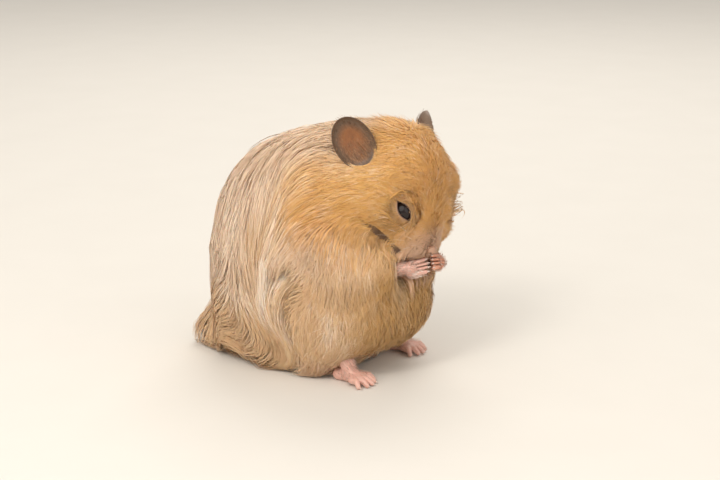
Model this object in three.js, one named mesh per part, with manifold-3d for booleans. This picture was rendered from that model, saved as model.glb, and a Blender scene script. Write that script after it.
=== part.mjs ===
// A long-haired Syrian hamster sitting up on its haunches, head bowed and forepaws at its mouth.
// Millimetres. +X is the way the trunk faces, +Y its left and +Z up. The origin is the middle of the
// bounding box's base, so the animal sits on the plane z = 0. The surfaces are the tips of the coat.
import * as THREE from "three";
import { mergeVertices } from "three/addons/utils/BufferGeometryUtils.js";
import Module from "manifold-3d";

const wasm = await Module();
wasm.setup();

// ---- Driving sizes. ----

const GAP = 0.3; // between neighbouring pieces
const BACK_RADIUS = 40; // the curled back is close to a circle from the side
const TRUNK_HALF_WIDTH = 30;
const BELLY_REACH = 39.5; // how far the chest stands ahead of the middle of the body
const SHOULDER_HEIGHT = 84;
const SKIRT_HALF_WIDTH = 29;
const TRAIN_END = -51.5; // x of the tip of the hair that trails behind
const LOCKS = 10; // ripples round the skirt's hem
const LOCK_DEPTH = 1.6;

const HEAD_YAW = -20; // degrees, to the animal's right
const HEAD_PITCH = 58; // degrees, nose down
const HEAD_ROLL = -10; // degrees, left ear down
const HEAD_AT = [37, -2, 61]; // the head's own point, between the eyes
const HEAD_HALF_WIDTH = 20.5;
const EYE_SPACING = 19.6; // between the middles of the eyeballs
const EYES_AHEAD = 0.3; // of the head's own point, toward the nose
const EYES_SUNK = 0.4; // below that point, into the head
const EYE_RADIUS = 4;
const EAR_LENGTH = 19.5;
const EAR_WIDTH = 14;
const EAR_CUP = 4; // half the depth of the bowl
const EAR_THICKNESS = 1;
const EAR_SPACING = 41.8; // between the middles of the bowls

const FINGERS = 4;
const FINGER_SPREAD = 1.35; // between neighbouring fingers
const FINGER_RADII = [1.3, 1]; // at the root and the tip
const TOES = 5;
const TOE_SPREAD = 2.1;
const TOE_LENGTH = 5.6;
const TOE_RADII = [1.4, 1];
const FOOT_SPACING = 40;
const FOOT_LENGTH = 17;
const FOREARM_RADII = [7.5, 3.3];
const TAIL_RADII = [2.4, 1.2];
const CLAW_LENGTH = 1.3;
const CLAW_RADIUS = 0.4;

const RIGHT = -1; // the sign of y on each side
const LEFT = 1;
const SIDES = [["right", RIGHT], ["left", LEFT]];
const FAR = 200; // reaches past the whole animal

// How finely each ball of triangles is divided.
const FINE = 6;
const MEDIUM = 5;
const PLAIN = 4;
const COARSE = 3;
const ROUGH = 2;

const point = (x, y, z) => new THREE.Vector3(x, y, z);
const degrees = THREE.MathUtils.degToRad;

// ---- Signed distance fields: negative inside, in millimetres. ----

function smoothMin(a, b, radius) {
  const h = Math.max(radius - Math.abs(a - b), 0) / radius;
  return Math.min(a, b) - (h * h * radius) / 4;
}

const blend = (radius, ...fields) => (p) =>
  fields.reduce((d, field) => smoothMin(d, field(p), radius), FAR);

const grow = (field, by) => (p) => field(p) - by;

// An ellipsoid, turned by the frame's axes and placed in that frame when one is given.
function ellipsoid(centre, radii, frame) {
  const inverse = frame ? frame.clone().invert() : new THREE.Matrix4();
  const q = new THREE.Vector3();
  const [rx, ry, rz] = radii;
  return (p) => {
    q.copy(p).applyMatrix4(inverse).sub(centre);
    const k0 = Math.hypot(q.x / rx, q.y / ry, q.z / rz);
    const k1 = Math.hypot(q.x / rx ** 2, q.y / ry ** 2, q.z / rz ** 2);
    return k1 < 1e-9 ? -Math.min(...radii) : (k0 * (k0 - 1)) / k1;
  };
}

// A capsule whose radius runs evenly from ra at a to rb at b.
function limb(a, b, ra, rb) {
  const along = b.clone().sub(a);
  const length2 = along.lengthSq();
  const q = new THREE.Vector3();
  return (p) => {
    q.copy(p).sub(a);
    const t = THREE.MathUtils.clamp(q.dot(along) / length2, 0, 1);
    return q.addScaledVector(along, -t).length() - THREE.MathUtils.lerp(ra, rb, t);
  };
}

// ---- Meshes and solids. ----

function asSolid(geometry) {
  const bare = geometry.clone();
  bare.deleteAttribute("normal");
  bare.deleteAttribute("uv");
  const merged = mergeVertices(bare, 1e-4);
  return new wasm.Manifold(
    new wasm.Mesh({
      numProp: 3,
      vertProperties: new Float32Array(merged.attributes.position.array),
      triVerts: new Uint32Array(merged.index.array),
    }),
  );
}

function asGeometry(solid) {
  const mesh = solid.getMesh();
  const positions = new Float32Array(mesh.numVert * 3);
  for (let i = 0; i < mesh.numVert; i++)
    for (let k = 0; k < 3; k++) positions[3 * i + k] = mesh.vertProperties[mesh.numProp * i + k];
  const geometry = new THREE.BufferGeometry();
  geometry.setAttribute("position", new THREE.BufferAttribute(positions, 3));
  geometry.setIndex(new THREE.BufferAttribute(new Uint32Array(mesh.triVerts), 1));
  geometry.computeVertexNormals();
  return geometry;
}

// A ball of triangles whose vertices are pushed out from the centre until they meet the field.
const MARCH_STEP = 0.5;
const BISECTIONS = 14;
const REACH = 80;
function inflate(centre, field, detail) {
  const geometry = new THREE.IcosahedronGeometry(1, detail);
  const at = geometry.attributes.position;
  const direction = new THREE.Vector3();
  const p = new THREE.Vector3();
  const value = (t) => field(p.copy(centre).addScaledVector(direction, t));
  for (let i = 0; i < at.count; i++) {
    direction.fromBufferAttribute(at, i).normalize();
    let inside = 0;
    let outside = MARCH_STEP;
    while (outside < REACH && value(outside) < 0) {
      inside = outside;
      outside += MARCH_STEP;
    }
    for (let step = 0; step < BISECTIONS; step++) {
      const middle = (inside + outside) / 2;
      if (value(middle) < 0) inside = middle;
      else outside = middle;
    }
    at.setXYZ(i, ...p.copy(centre).addScaledVector(direction, inside).toArray());
  }
  return asSolid(geometry);
}

// A box that covers all that lies past a plane, on the side to which the normal points.
function beyond(at, normal) {
  const out = normal.clone().normalize();
  const box = new THREE.BoxGeometry(2 * FAR, 2 * FAR, 2 * FAR);
  box.applyQuaternion(new THREE.Quaternion().setFromUnitVectors(point(0, 0, 1), out));
  box.translate(...at.clone().addScaledVector(out, FAR).toArray());
  return asSolid(box);
}

const join = (first, ...rest) => rest.reduce((sum, solid) => sum.add(solid), first);
const without = (solid, ...cutters) =>
  cutters.reduce((left, cutter) => left.subtract(cutter), solid);

const UNDERGROUND = beyond(point(0, 0, 0), point(0, 0, -1));

// The largest body of a solid, without any crumb that a cut left beside it.
function largest(solid) {
  return solid.decompose().reduce((a, b) => (a.volume() > b.volume() ? a : b));
}

const model = new THREE.Group();

function addPiece(name, solid, material) {
  const mesh = new THREE.Mesh(asGeometry(largest(solid)), material);
  mesh.name = name;
  model.add(mesh);
}

// ---- Materials. ----

const finish = (name, color, roughness) =>
  new THREE.MeshStandardMaterial({ name, color, roughness, metalness: 0 });
const GOLD_COAT = finish("gold_coat", 0xd9a66c, 0.85);
const CREAM_COAT = finish("cream_coat", 0xe3c7a0, 0.85);
const PINK_SKIN = finish("pink_skin", 0xd9a08c, 0.6);
const EAR_SKIN = finish("ear_skin", 0x7a5f4e, 0.7);
const EYE_BLACK = finish("eye_black", 0x0a0808, 0.1);
const CLAW_HORN = finish("claw_horn", 0xe8d8c8, 0.4);

// ---- The head's own frame: x to the nose, y to the left ear, z out of the forehead. ----

function headFrame() {
  const yaw = degrees(HEAD_YAW);
  const pitch = degrees(HEAD_PITCH);
  const noseward = point(
    Math.cos(pitch) * Math.cos(yaw),
    Math.cos(pitch) * Math.sin(yaw),
    -Math.sin(pitch),
  );
  const leftward = point(-Math.sin(yaw), Math.cos(yaw), 0);
  leftward.applyAxisAngle(noseward, degrees(HEAD_ROLL));
  const browward = noseward.clone().cross(leftward);
  return new THREE.Matrix4()
    .makeBasis(noseward, leftward, browward)
    .setPosition(...HEAD_AT);
}

const HEAD = headFrame();
const inHead = (x, y, z) => point(x, y, z).applyMatrix4(HEAD);
const headBall = (x, y, z, ...radii) => ellipsoid(point(x, y, z), radii, HEAD);
const bothSides = (make) => SIDES.map(([, side]) => make(side));
// The way an eye and an ear face, in the head's frame.
const outward = (side) => point(0.17, 0.76 * side, 0.63);

// The left cheek's ruff stands out further than the right's.
const skull = headBall(-14.5, 0, -4, 19, HEAD_HALF_WIDTH, 16.5);
const brow = headBall(-1, 0, -4.5, 12, 12, 11);
const rightCheek = headBall(-9, -13.5, -7, 13, 10, 11.5);
const leftCheek = headBall(-5.7, 16, -5.7, 13.5, 11, 12.5);
const leftRuff = headBall(1.5, 15.5, -9, 10.5, 9.5, 10.5);
const snout = headBall(6, 0, -6, 11, 6.8, 6.6);
const lips = bothSides((side) => headBall(10, side * 3, -6.2, 5, 4.2, 4.2));
const chin = headBall(5.5, 0, -11, 6.5, 5.2, 3.6);
const headField = blend(5, skull, brow, rightCheek, leftCheek, leftRuff, snout, ...lips, chin);
const HEAD_CENTRE = inHead(-8, 0, -8);

// ---- The trunk: a curled back over a low belly, with shoulders and a soft chest. ----

const backField = blend(
  9,
  ellipsoid(point(-5.5, 0, 46), [BACK_RADIUS, TRUNK_HALF_WIDTH - 3, BACK_RADIUS - 1.5]),
  ellipsoid(point(-10, 0, 30), [BACK_RADIUS - 5, TRUNK_HALF_WIDTH, 31]),
);
const chestField = blend(
  8,
  ellipsoid(point(14, 0, 31), [BELLY_REACH - 14, 24, 25]),
  ellipsoid(point(10, 0, 24), [BELLY_REACH - 13.5, 23, 15.5]),
);
const shoulderField = ellipsoid(point(6, 0, 60), [24, 25, SHOULDER_HEIGHT - 60]);
const neckField = ellipsoid(point(12, 0, 67), [17, 21, SHOULDER_HEIGHT - 63]);
const torsoField = blend(10, backField, chestField, shoulderField, neckField);
const TRUNK_CENTRE = point(-6, 0, 42);

// ---- Forelegs: the upper arm hangs beside the chest and the forearm rises to the mouth. ----

const WRIST = { right: point(32.5, -11, 41), left: point(36, 9.5, 38.5) };
const PALM = { right: point(36.6, -8.9, 40.8), left: point(40.9, 4.4, 40.6) };
const FINGERTIPS = { right: point(40.1, -5.7, 41.5), left: point(41.7, -1.7, 42.3) };
const SHOULDER = (side) => point(8, side * 20, 51);
const ELBOW = (side) => point(18, side * 21, 36);
const ARM_CENTRE = (side) => point(17, side * 20.5, 39);

const armField = (name, side) =>
  blend(
    4,
    limb(SHOULDER(side), ELBOW(side), 10, 8),
    limb(ELBOW(side), WRIST[name], 8, 3.4),
  );

// ---- Hind legs: round haunches low on each flank. ----

const HAUNCH_CENTRE = (side) => point(9, side * 18.5, 22);
const haunchField = (side) =>
  blend(
    5,
    ellipsoid(point(6, side * 18.5, 21), [18, 11.5, 18.5]),
    ellipsoid(point(19.5, side * 17.5, 21.5), [9, 7.5, 10]),
  );

// ---- The skirt: long hair that falls from the flanks and rump and spreads on the floor. ----

const SKIRT_CENTRE = point(-15, 0, 16);
const RIPPLE_HEIGHT = 34; // the ripples fade out at this height
const RIPPLE_LEAN = 1 / 9; // radians that a ripple turns in each millimetre of height
const skirtShape = blend(
  8,
  ellipsoid(point(-13, 0, 22), [33, SKIRT_HALF_WIDTH, 32]),
  ellipsoid(point(-20, 0, 2), [33, SKIRT_HALF_WIDTH - 7, 15]),
  ...bothSides((side) => ellipsoid(point(-8, side * 11, 4), [19, 11.5, 15])),
  limb(point(-32, 0, 8), point(TRAIN_END, -2.5, 1), 15, 7),
);
function skirtField(p) {
  const angle = Math.atan2(p.y, p.x - SKIRT_CENTRE.x);
  const low = THREE.MathUtils.clamp(1 - p.z / RIPPLE_HEIGHT, 0, 1);
  return skirtShape(p) + LOCK_DEPTH * low * Math.cos(LOCKS * angle + RIPPLE_LEAN * p.z);
}

const bodyField = blend(
  4,
  torsoField,
  skirtField,
  ...bothSides(haunchField),
  ...SIDES.map(([name, side]) => armField(name, side)),
);
const wholeField = blend(3.5, bodyField, headField);

// ---- Regions that part the body: grown by half a gap to cut, and shrunk by half to keep. ----

function region(centre, field, detail) {
  return {
    cut: inflate(centre, grow(field, GAP / 2), detail),
    keep: inflate(centre, grow(field, -GAP / 2), detail),
  };
}

const HEAD_MARGIN = 1.8; // of the head's region outside its field
const headRegion = region(HEAD_CENTRE, grow(headField, HEAD_MARGIN), COARSE);

const NECK_CENTRE = point(13, 0, 66);
const NAPE_LEAN = 20; // degrees that the cut behind the neck leans back
const NECK_FOOT = point(1, 0, 50); // where the neck's rear cut meets its lower one

// Everything above and ahead of the neck's foot, moved outwards by offset.
function neckWedge(offset) {
  const box = new THREE.BoxGeometry(FAR, FAR, FAR);
  box.translate(FAR / 2 - offset, 0, FAR / 2 - offset);
  box.rotateY(-degrees(NAPE_LEAN));
  box.translate(...NECK_FOOT.toArray());
  return asSolid(box);
}
const neckRegion = { cut: neckWedge(GAP / 2), keep: neckWedge(-GAP / 2) };

// The limbs' regions lie further out than the limbs, so that they cross the coat steeply.
function armRegionOf(name, side) {
  const elbow = point(18, side * 26, 36);
  const upper = limb(point(8, side * 26, 52), elbow, 13, 12);
  const lower = limb(elbow, WRIST[name], 12, 5);
  return region(point(15, side * 24, 41), blend(4, upper, lower), ROUGH);
}
function haunchRegionOf(side) {
  const field = ellipsoid(point(15, side * 24, 21), [16.5, 18, 19]);
  return region(HAUNCH_CENTRE(side), field, ROUGH);
}
const armRegion = {};
const haunchRegion = {};
for (const [name, side] of SIDES) {
  armRegion[name] = armRegionOf(name, side);
  haunchRegion[name] = haunchRegionOf(side);
}

// The trunk takes all that is above the flanks or ahead of the knees, and a core under the skirt.
const SKIRT_TOP = 41;
const SKIRT_FRONT = 14;
const CORE_CENTRE = point(-6, 0, 30);
const coreField = ellipsoid(CORE_CENTRE, [TRUNK_HALF_WIDTH + 2, TRUNK_HALF_WIDTH - 7, 32]);
const trunkZone = (offset) =>
  join(
    beyond(point(0, 0, SKIRT_TOP - offset), point(0, 0, 1)),
    beyond(point(SKIRT_FRONT - offset, 0, 0), point(1, 0, 0)),
    inflate(CORE_CENTRE, grow(coreField, offset), ROUGH),
  );

// The coat as seen from the middle of the head, neck or haunch.
const fromHead = (extra) => inflate(HEAD_CENTRE, grow(wholeField, extra), MEDIUM);
const fromNeck = (extra) => inflate(NECK_CENTRE, grow(wholeField, extra), PLAIN);
const fromHaunch = (side, extra) =>
  inflate(HAUNCH_CENTRE(side), grow(wholeField, extra), COARSE);

// ---- Turned pieces: digits, claws, forearms and the tail. ----

const turned = (profile, from, toward, sides) => {
  const outline = profile.map(([r, y]) => new THREE.Vector2(r, y));
  const geometry = new THREE.LatheGeometry(outline, sides);
  const axis = toward.clone().sub(from).normalize();
  geometry.applyQuaternion(new THREE.Quaternion().setFromUnitVectors(point(0, 1, 0), axis));
  geometry.translate(...from.toArray());
  return asSolid(geometry);
};

// A tapered finger of flesh from a to b, pointed past both ends by its own radius.
function taper(a, b, [ra, rb], sides = 5) {
  const length = a.distanceTo(b);
  const profile = [
    [0, -ra],
    [ra, 0],
    [rb, length],
    [0, length + rb],
  ];
  return turned(profile, a, b, sides);
}

const claw = (tip, toward) =>
  turned([[0, 0], [CLAW_RADIUS, 0], [0, CLAW_LENGTH]], tip, toward, 5);

// A row of digits, each with a claw just past its tip.
function digits(name, rows, radii) {
  return rows.map(([from, to], i) => {
    const onward = to.clone().multiplyScalar(2).sub(from);
    const start = to.clone().lerp(onward, (radii[1] + GAP) / from.distanceTo(to));
    addPiece(`claw_${name}_${i + 1}`, claw(start, onward).subtract(UNDERGROUND), CLAW_HORN);
    return taper(from, to, radii);
  });
}

// ---- Ears: thin cups on the back of the head, open to the side and front. ----

function earFrame(side) {
  const lengthwise = point(-0.95, 0.3 * side, 0.02).normalize();
  const opening = outward(side);
  opening.addScaledVector(lengthwise, -opening.dot(lengthwise)).normalize();
  const across = opening.clone().cross(lengthwise);
  const local = new THREE.Matrix4()
    .makeBasis(lengthwise, across, opening)
    .setPosition(-26, (EAR_SPACING / 2) * side, -1);
  return HEAD.clone().multiply(local);
}

const headAndNape = [fromHead(GAP), fromNeck(GAP)];

function ear(side) {
  const frame = earFrame(side);
  const bowl = (trim, rise) =>
    asSolid(
      new THREE.SphereGeometry(1, 10, 6)
        .scale(EAR_LENGTH / 2 - trim, EAR_WIDTH / 2 - trim, EAR_CUP)
        .translate(0, 0, rise)
        .applyMatrix4(frame),
    );
  return without(bowl(0, 0), bowl(EAR_THICKNESS / 2, EAR_THICKNESS), ...headAndNape);
}

// ---- Eyes and nose, which sit in hollows of the head. ----

const eyeMiddle = (side) => inHead(EYES_AHEAD, (side * EYE_SPACING) / 2, -EYES_SUNK);

function eyeball(side, radius, sides) {
  const ball = new THREE.SphereGeometry(radius, sides, sides - 4);
  ball.translate(...eyeMiddle(side).toArray());
  return asSolid(ball);
}

// The fur parts over each eye in a hollow that widens outwards.
const PARTING_RADII = [2.2, 5.5]; // in front of the eyeball and at its outer end
const PARTING_START = 3.5; // from the middle of the eyeball
const PARTING_REACH = 12; // from there too
function eyeParting(side) {
  const middle = eyeMiddle(side);
  const way = outward(side).transformDirection(HEAD);
  const start = middle.clone().addScaledVector(way, PARTING_START);
  const end = middle.clone().addScaledVector(way, PARTING_REACH);
  return taper(start, end, PARTING_RADII, 6);
}

const NOSE = inHead(14.6, 0, -2.6);
const nosePad = (extra) =>
  inflate(NOSE, grow(ellipsoid(NOSE, [1.9, 2.2, 1.8]), extra), 1);

// ---- Forepaws: a palm with four fingers that reach to the mouth. ----

const PAW_MIDDLE = (name) => WRIST[name].clone().lerp(PALM[name], 0.5);
const palmField = (name) =>
  blend(
    1.5,
    limb(WRIST[name], PALM[name], 2.6, 2.6),
    ellipsoid(PALM[name], [2.8, 2.8, 3.1]),
  );

// The cut through the wrist, and which way the paw lies from it.
function wristCut(name, side, offset, pawward) {
  const along = PALM[name].clone().sub(ELBOW(side)).normalize();
  const at = WRIST[name].clone().addScaledVector(along, -offset * pawward);
  return beyond(at, along.multiplyScalar(pawward));
}

function forepaw(name, side) {
  const palm = PALM[name];
  const tips = FINGERTIPS[name];
  const reach = tips.clone().sub(palm).normalize();
  const across = point(-0.3, 0, 1);
  across.addScaledVector(reach, -across.dot(reach)).normalize();
  const rows = [];
  for (let i = 0; i < FINGERS; i++) {
    const offset = (i - (FINGERS - 1) / 2) * FINGER_SPREAD;
    const shorter = Math.abs(offset) * 0.35;
    const from = palm.clone().addScaledVector(across, offset * 0.85);
    const to = tips.clone().addScaledVector(across, offset).addScaledVector(reach, -shorter);
    rows.push([from, to]);
  }
  const fingers = digits(`forepaw_${name}`, rows, FINGER_RADII);
  const whole = join(inflate(PAW_MIDDLE(name), palmField(name), ROUGH), ...fingers);
  return without(whole, wristCut(name, side, -GAP / 2, -1));
}

// Room in the coat for a paw, out to its claws.
function pawRoom(name) {
  const clawTips = FINGERTIPS[name].clone().lerp(PALM[name], -0.35);
  const fingers = limb(PALM[name], clawTips, 3.2, 2.9);
  const field = grow(blend(1.5, palmField(name), fingers), 1.5 * GAP);
  return inflate(PAW_MIDDLE(name), field, COARSE);
}

function foreleg(name, side) {
  const forearm = taper(ELBOW(side), WRIST[name], FOREARM_RADII, 8);
  const arm = join(inflate(ARM_CENTRE(side), wholeField, COARSE), forearm);
  const wrist = wristCut(name, side, GAP / 2, 1);
  return without(arm.intersect(armRegion[name].keep), wrist, headRegion.cut, neckRegion.cut);
}

// ---- Hind feet: long soles with five toes, flat on the floor. ----

const ANKLE = (side) => point(15, side * 18.5, 10.5);
const BALL = (side) => point(21, (side * FOOT_SPACING) / 2, 2.4);

function soleField(side) {
  const ball = BALL(side);
  const heel = point(ball.x - FOOT_LENGTH + 7, ball.y - side * 1.5, 2);
  return blend(
    2,
    limb(ANKLE(side), ball, 4, 2.7),
    ellipsoid(ball, [4, 4.8, 2.4]),
    limb(heel, ball, 2.6, 2.4),
  );
}
const sole = (side, extra) => inflate(BALL(side), grow(soleField(side), extra), ROUGH);

function hindFoot(name, side) {
  const ball = BALL(side);
  const rows = [];
  for (let i = 0; i < TOES; i++) {
    const offset = i - (TOES - 1) / 2;
    const shorter = offset ** 2 * 0.55;
    const from = point(ball.x, ball.y + offset * TOE_SPREAD * 0.8, 1.7);
    const to = point(ball.x + TOE_LENGTH - shorter, ball.y + offset * TOE_SPREAD * 1.15, 1.1);
    rows.push([from, to]);
  }
  const toes = digits(`hind_foot_${name}`, rows, TOE_RADII);
  const thigh = fromHaunch(side, GAP).intersect(haunchRegion[name].cut);
  return without(join(sole(side, 0), ...toes), thigh, UNDERGROUND);
}

const hindLeg = (name, side) =>
  without(
    fromHaunch(side, 0).intersect(haunchRegion[name].keep),
    armRegion[name].cut,
    UNDERGROUND,
  );

// ---- Tail: a short stub under the skirt. ----

const tail = (extra) =>
  taper(point(-26, -1, 12), point(-47, -2, 4.5), TAIL_RADII.map((r) => r + extra), 8);

// ---- Assembly. ----

const pawRooms = SIDES.map(([name]) => pawRoom(name));
const sockets = bothSides((side) =>
  join(eyeball(side, EYE_RADIUS + 2 * GAP, 8), eyeParting(side)),
);
addPiece("nose", nosePad(0), PINK_SKIN);
const head = fromHead(0).intersect(headRegion.keep);
addPiece("head", without(head, ...sockets, ...pawRooms, nosePad(GAP)), GOLD_COAT);
const neck = fromNeck(0).intersect(neckRegion.keep);
addPiece("neck", without(neck, headRegion.cut), GOLD_COAT);

for (const [name, side] of SIDES) {
  addPiece(`eye_${name}`, eyeball(side, EYE_RADIUS, 11), EYE_BLACK);
  addPiece(`ear_${name}`, ear(side), EAR_SKIN);
  addPiece(`foreleg_${name}`, foreleg(name, side), GOLD_COAT);
  addPiece(`forepaw_${name}`, forepaw(name, side), PINK_SKIN);
  addPiece(`hind_leg_${name}`, hindLeg(name, side), CREAM_COAT);
  addPiece(`hind_foot_${name}`, hindFoot(name, side), PINK_SKIN);
}

const legCuts = SIDES.flatMap(([name, side]) => [
  haunchRegion[name].cut,
  armRegion[name].cut,
  sole(side, GAP),
]);
const bodyCuts = [headRegion.cut, neckRegion.cut, ...legCuts, UNDERGROUND];
const trunk = inflate(TRUNK_CENTRE, wholeField, MEDIUM).intersect(trunkZone(-GAP / 2));
addPiece("trunk", without(trunk, ...bodyCuts, ...pawRooms), GOLD_COAT);
addPiece("tail", tail(0).subtract(trunkZone(GAP / 2)), PINK_SKIN);

const REAR_AT = -30; // where the flanks' locks give way to the train behind
const forward = point(1, 0, 0);
const backward = point(-1, 0, 0);
const coat = inflate(SKIRT_CENTRE, bodyField, FINE);
const skirt = without(coat, trunkZone(GAP / 2), ...bodyCuts, tail(GAP));
const train = skirt.subtract(beyond(point(REAR_AT - GAP / 2, 0, 0), forward));
addPiece("coat_skirt_rear", train, CREAM_COAT);
for (const [name, side] of SIDES) {
  const otherSide = beyond(point(0, (side * GAP) / 2, 0), point(0, -side, 0));
  const behind = beyond(point(REAR_AT + GAP / 2, 0, 0), backward);
  addPiece(`coat_skirt_${name}`, without(skirt, behind, otherSide), CREAM_COAT);
}

const bounds = new THREE.Box3().setFromObject(model);
const middle = bounds.getCenter(point(0, 0, 0));
model.position.set(-middle.x, -middle.y, -bounds.min.z);

export default model;
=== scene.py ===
"""A long-haired Syrian hamster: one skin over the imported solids, and its coat as flat blades.

Lengths are in millimetres until a mesh is made, and the row's frame is used throughout: +X is the
way the trunk faces, +Y the animal's left and +Z up.
"""

import math

import bpy
import numpy as np
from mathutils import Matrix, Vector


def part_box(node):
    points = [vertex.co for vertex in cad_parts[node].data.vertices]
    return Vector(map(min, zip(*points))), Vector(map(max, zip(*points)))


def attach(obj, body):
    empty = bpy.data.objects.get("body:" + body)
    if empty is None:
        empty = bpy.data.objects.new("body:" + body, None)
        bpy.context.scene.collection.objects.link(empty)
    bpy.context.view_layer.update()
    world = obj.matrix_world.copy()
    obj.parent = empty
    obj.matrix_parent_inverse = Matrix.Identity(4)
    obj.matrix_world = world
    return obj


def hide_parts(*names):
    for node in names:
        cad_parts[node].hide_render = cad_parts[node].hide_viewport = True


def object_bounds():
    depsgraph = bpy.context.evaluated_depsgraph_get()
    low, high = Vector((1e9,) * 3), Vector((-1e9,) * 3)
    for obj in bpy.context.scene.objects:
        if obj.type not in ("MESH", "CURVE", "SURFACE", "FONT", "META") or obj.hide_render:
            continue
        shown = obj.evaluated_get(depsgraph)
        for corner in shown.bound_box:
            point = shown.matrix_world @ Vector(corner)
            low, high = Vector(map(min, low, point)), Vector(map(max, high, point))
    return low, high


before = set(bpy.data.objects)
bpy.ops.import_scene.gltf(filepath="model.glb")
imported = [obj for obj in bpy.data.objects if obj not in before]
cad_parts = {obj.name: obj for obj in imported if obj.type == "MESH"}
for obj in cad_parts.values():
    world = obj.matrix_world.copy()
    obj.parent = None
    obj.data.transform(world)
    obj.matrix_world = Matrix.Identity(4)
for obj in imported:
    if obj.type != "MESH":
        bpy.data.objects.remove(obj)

import openvdb
from mathutils import Vector, kdtree

MM = 0.001
SIDES = {"right": -1, "left": 1}
CAD_BOX = [list(corner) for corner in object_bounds()]
dice = np.random.default_rng(7)

# ---- Plain geometry. ----


def unit(v):
    return v / np.maximum(np.linalg.norm(v, axis=-1, keepdims=True), 1e-9)


def ramp(x, start, end):
    """0 at start, 1 at end and smooth between."""
    t = np.clip((x - start) / (end - start), 0, 1)
    return t * t * (3 - 2 * t)


def middle(node):
    low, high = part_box(node)
    return (np.array(low) + np.array(high)) / 2 / MM


def smooth_min(a, b, k):
    h = np.clip(0.5 + 0.5 * (b - a) / k, 0, 1)
    return b + (a - b) * h - k * h * (1 - h)


def smooth_max(a, b, k):
    return -smooth_min(-a, -b, k)


def merged(sd, *shapes):
    """Distance to all of these, each given with how softly it runs into those before it."""
    for shape, softness in shapes:
        sd = smooth_min(sd, shape, softness)
    return sd


def between(a, b, share):
    return a + (b - a) * share


def norms(v):
    return np.linalg.norm(v, axis=1)


def nearest(p, points):
    """Distance from each row of p to whichever of points is nearest."""
    return np.min([norms(p - point) for point in points], axis=0)


def ball(q, centre, radii):
    """Distance to an ellipsoid, close to true near its surface."""
    r = (q - np.array(centre)) / np.array(radii)
    k0 = norms(r)
    k1 = norms(r / np.array(radii))
    return k0 * (k0 - 1) / np.maximum(k1, 1e-6)


def limb(q, a, b, ra, rb):
    """Distance to a rod from a to b whose radius runs from ra to rb."""
    a, b = np.array(a, float), np.array(b, float)
    along = b - a
    t = np.clip((q - a) @ along / (along @ along), 0, 1)
    return norms(q - a - t[:, None] * along) - (ra + (rb - ra) * t)


def chain(q, points, radii):
    """Distance to a bent rod through points."""
    spans = zip(points[:-1], points[1:], radii[:-1], radii[1:])
    return np.min([limb(q, *span) for span in spans], axis=0)


WAVES = 6
WAVES_PEAK = 1.6  # of this many waves' sum, over its own spread


def waves(p, size, seed):
    """Smooth noise from -1 to 1 whose bumps are about size across."""
    rng = np.random.default_rng(seed)
    total = np.zeros(len(p))
    for _ in range(WAVES):
        direction = unit(rng.normal(size=3))
        pitch = math.tau / size * rng.uniform(0.6, 1.4)
        total += np.sin(p @ direction * pitch + rng.uniform(0, 9))
    return total / math.sqrt(WAVES / 2) / WAVES_PEAK


# ---- The head's own axes, from the eyes and nose: noseward, leftward and browward. ----

NOSE_DROP = math.radians(8.65)  # the nose lies this far below the eyes' own axis
EYES_IN_HEAD = np.array([0.3, 0, -0.4])  # midway between the eyes, from the head's own point
EYES = {side: middle(f"eye_{side}") for side in SIDES}
BETWEEN_EYES = (EYES["right"] + EYES["left"]) / 2
NOSE = middle("nose")
LEFTWARD = unit(EYES["left"] - EYES["right"])
to_nose = unit(NOSE - BETWEEN_EYES)
over = np.cross(to_nose, LEFTWARD)
NOSEWARD = unit(to_nose * math.cos(NOSE_DROP) + over * math.sin(NOSE_DROP))
HEAD = np.array([NOSEWARD, LEFTWARD, np.cross(NOSEWARD, LEFTWARD)])
HEAD_AT = BETWEEN_EYES - EYES_IN_HEAD @ HEAD


def to_head(p):
    return (p - HEAD_AT) @ HEAD.T


def from_head(q):
    return np.array(q, float) @ HEAD + HEAD_AT


# The solids were drawn about a point under the body's middle. Their own sizes count from there.
DRAWN_HEAD = np.array([37, -2, 61])
DRAWN_FROM = HEAD_AT - DRAWN_HEAD


def drawn(x, y, z):
    return np.array([x, y, z]) + DRAWN_FROM


def ahead_of_middle(p):
    return p[:, 0] - DRAWN_FROM[0]


def left_of_middle(p):
    return p[:, 1] - DRAWN_FROM[1]


# ---- Distance fields on a lattice. ----

REACH = 34.0  # how deep and how far out distances are kept


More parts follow.
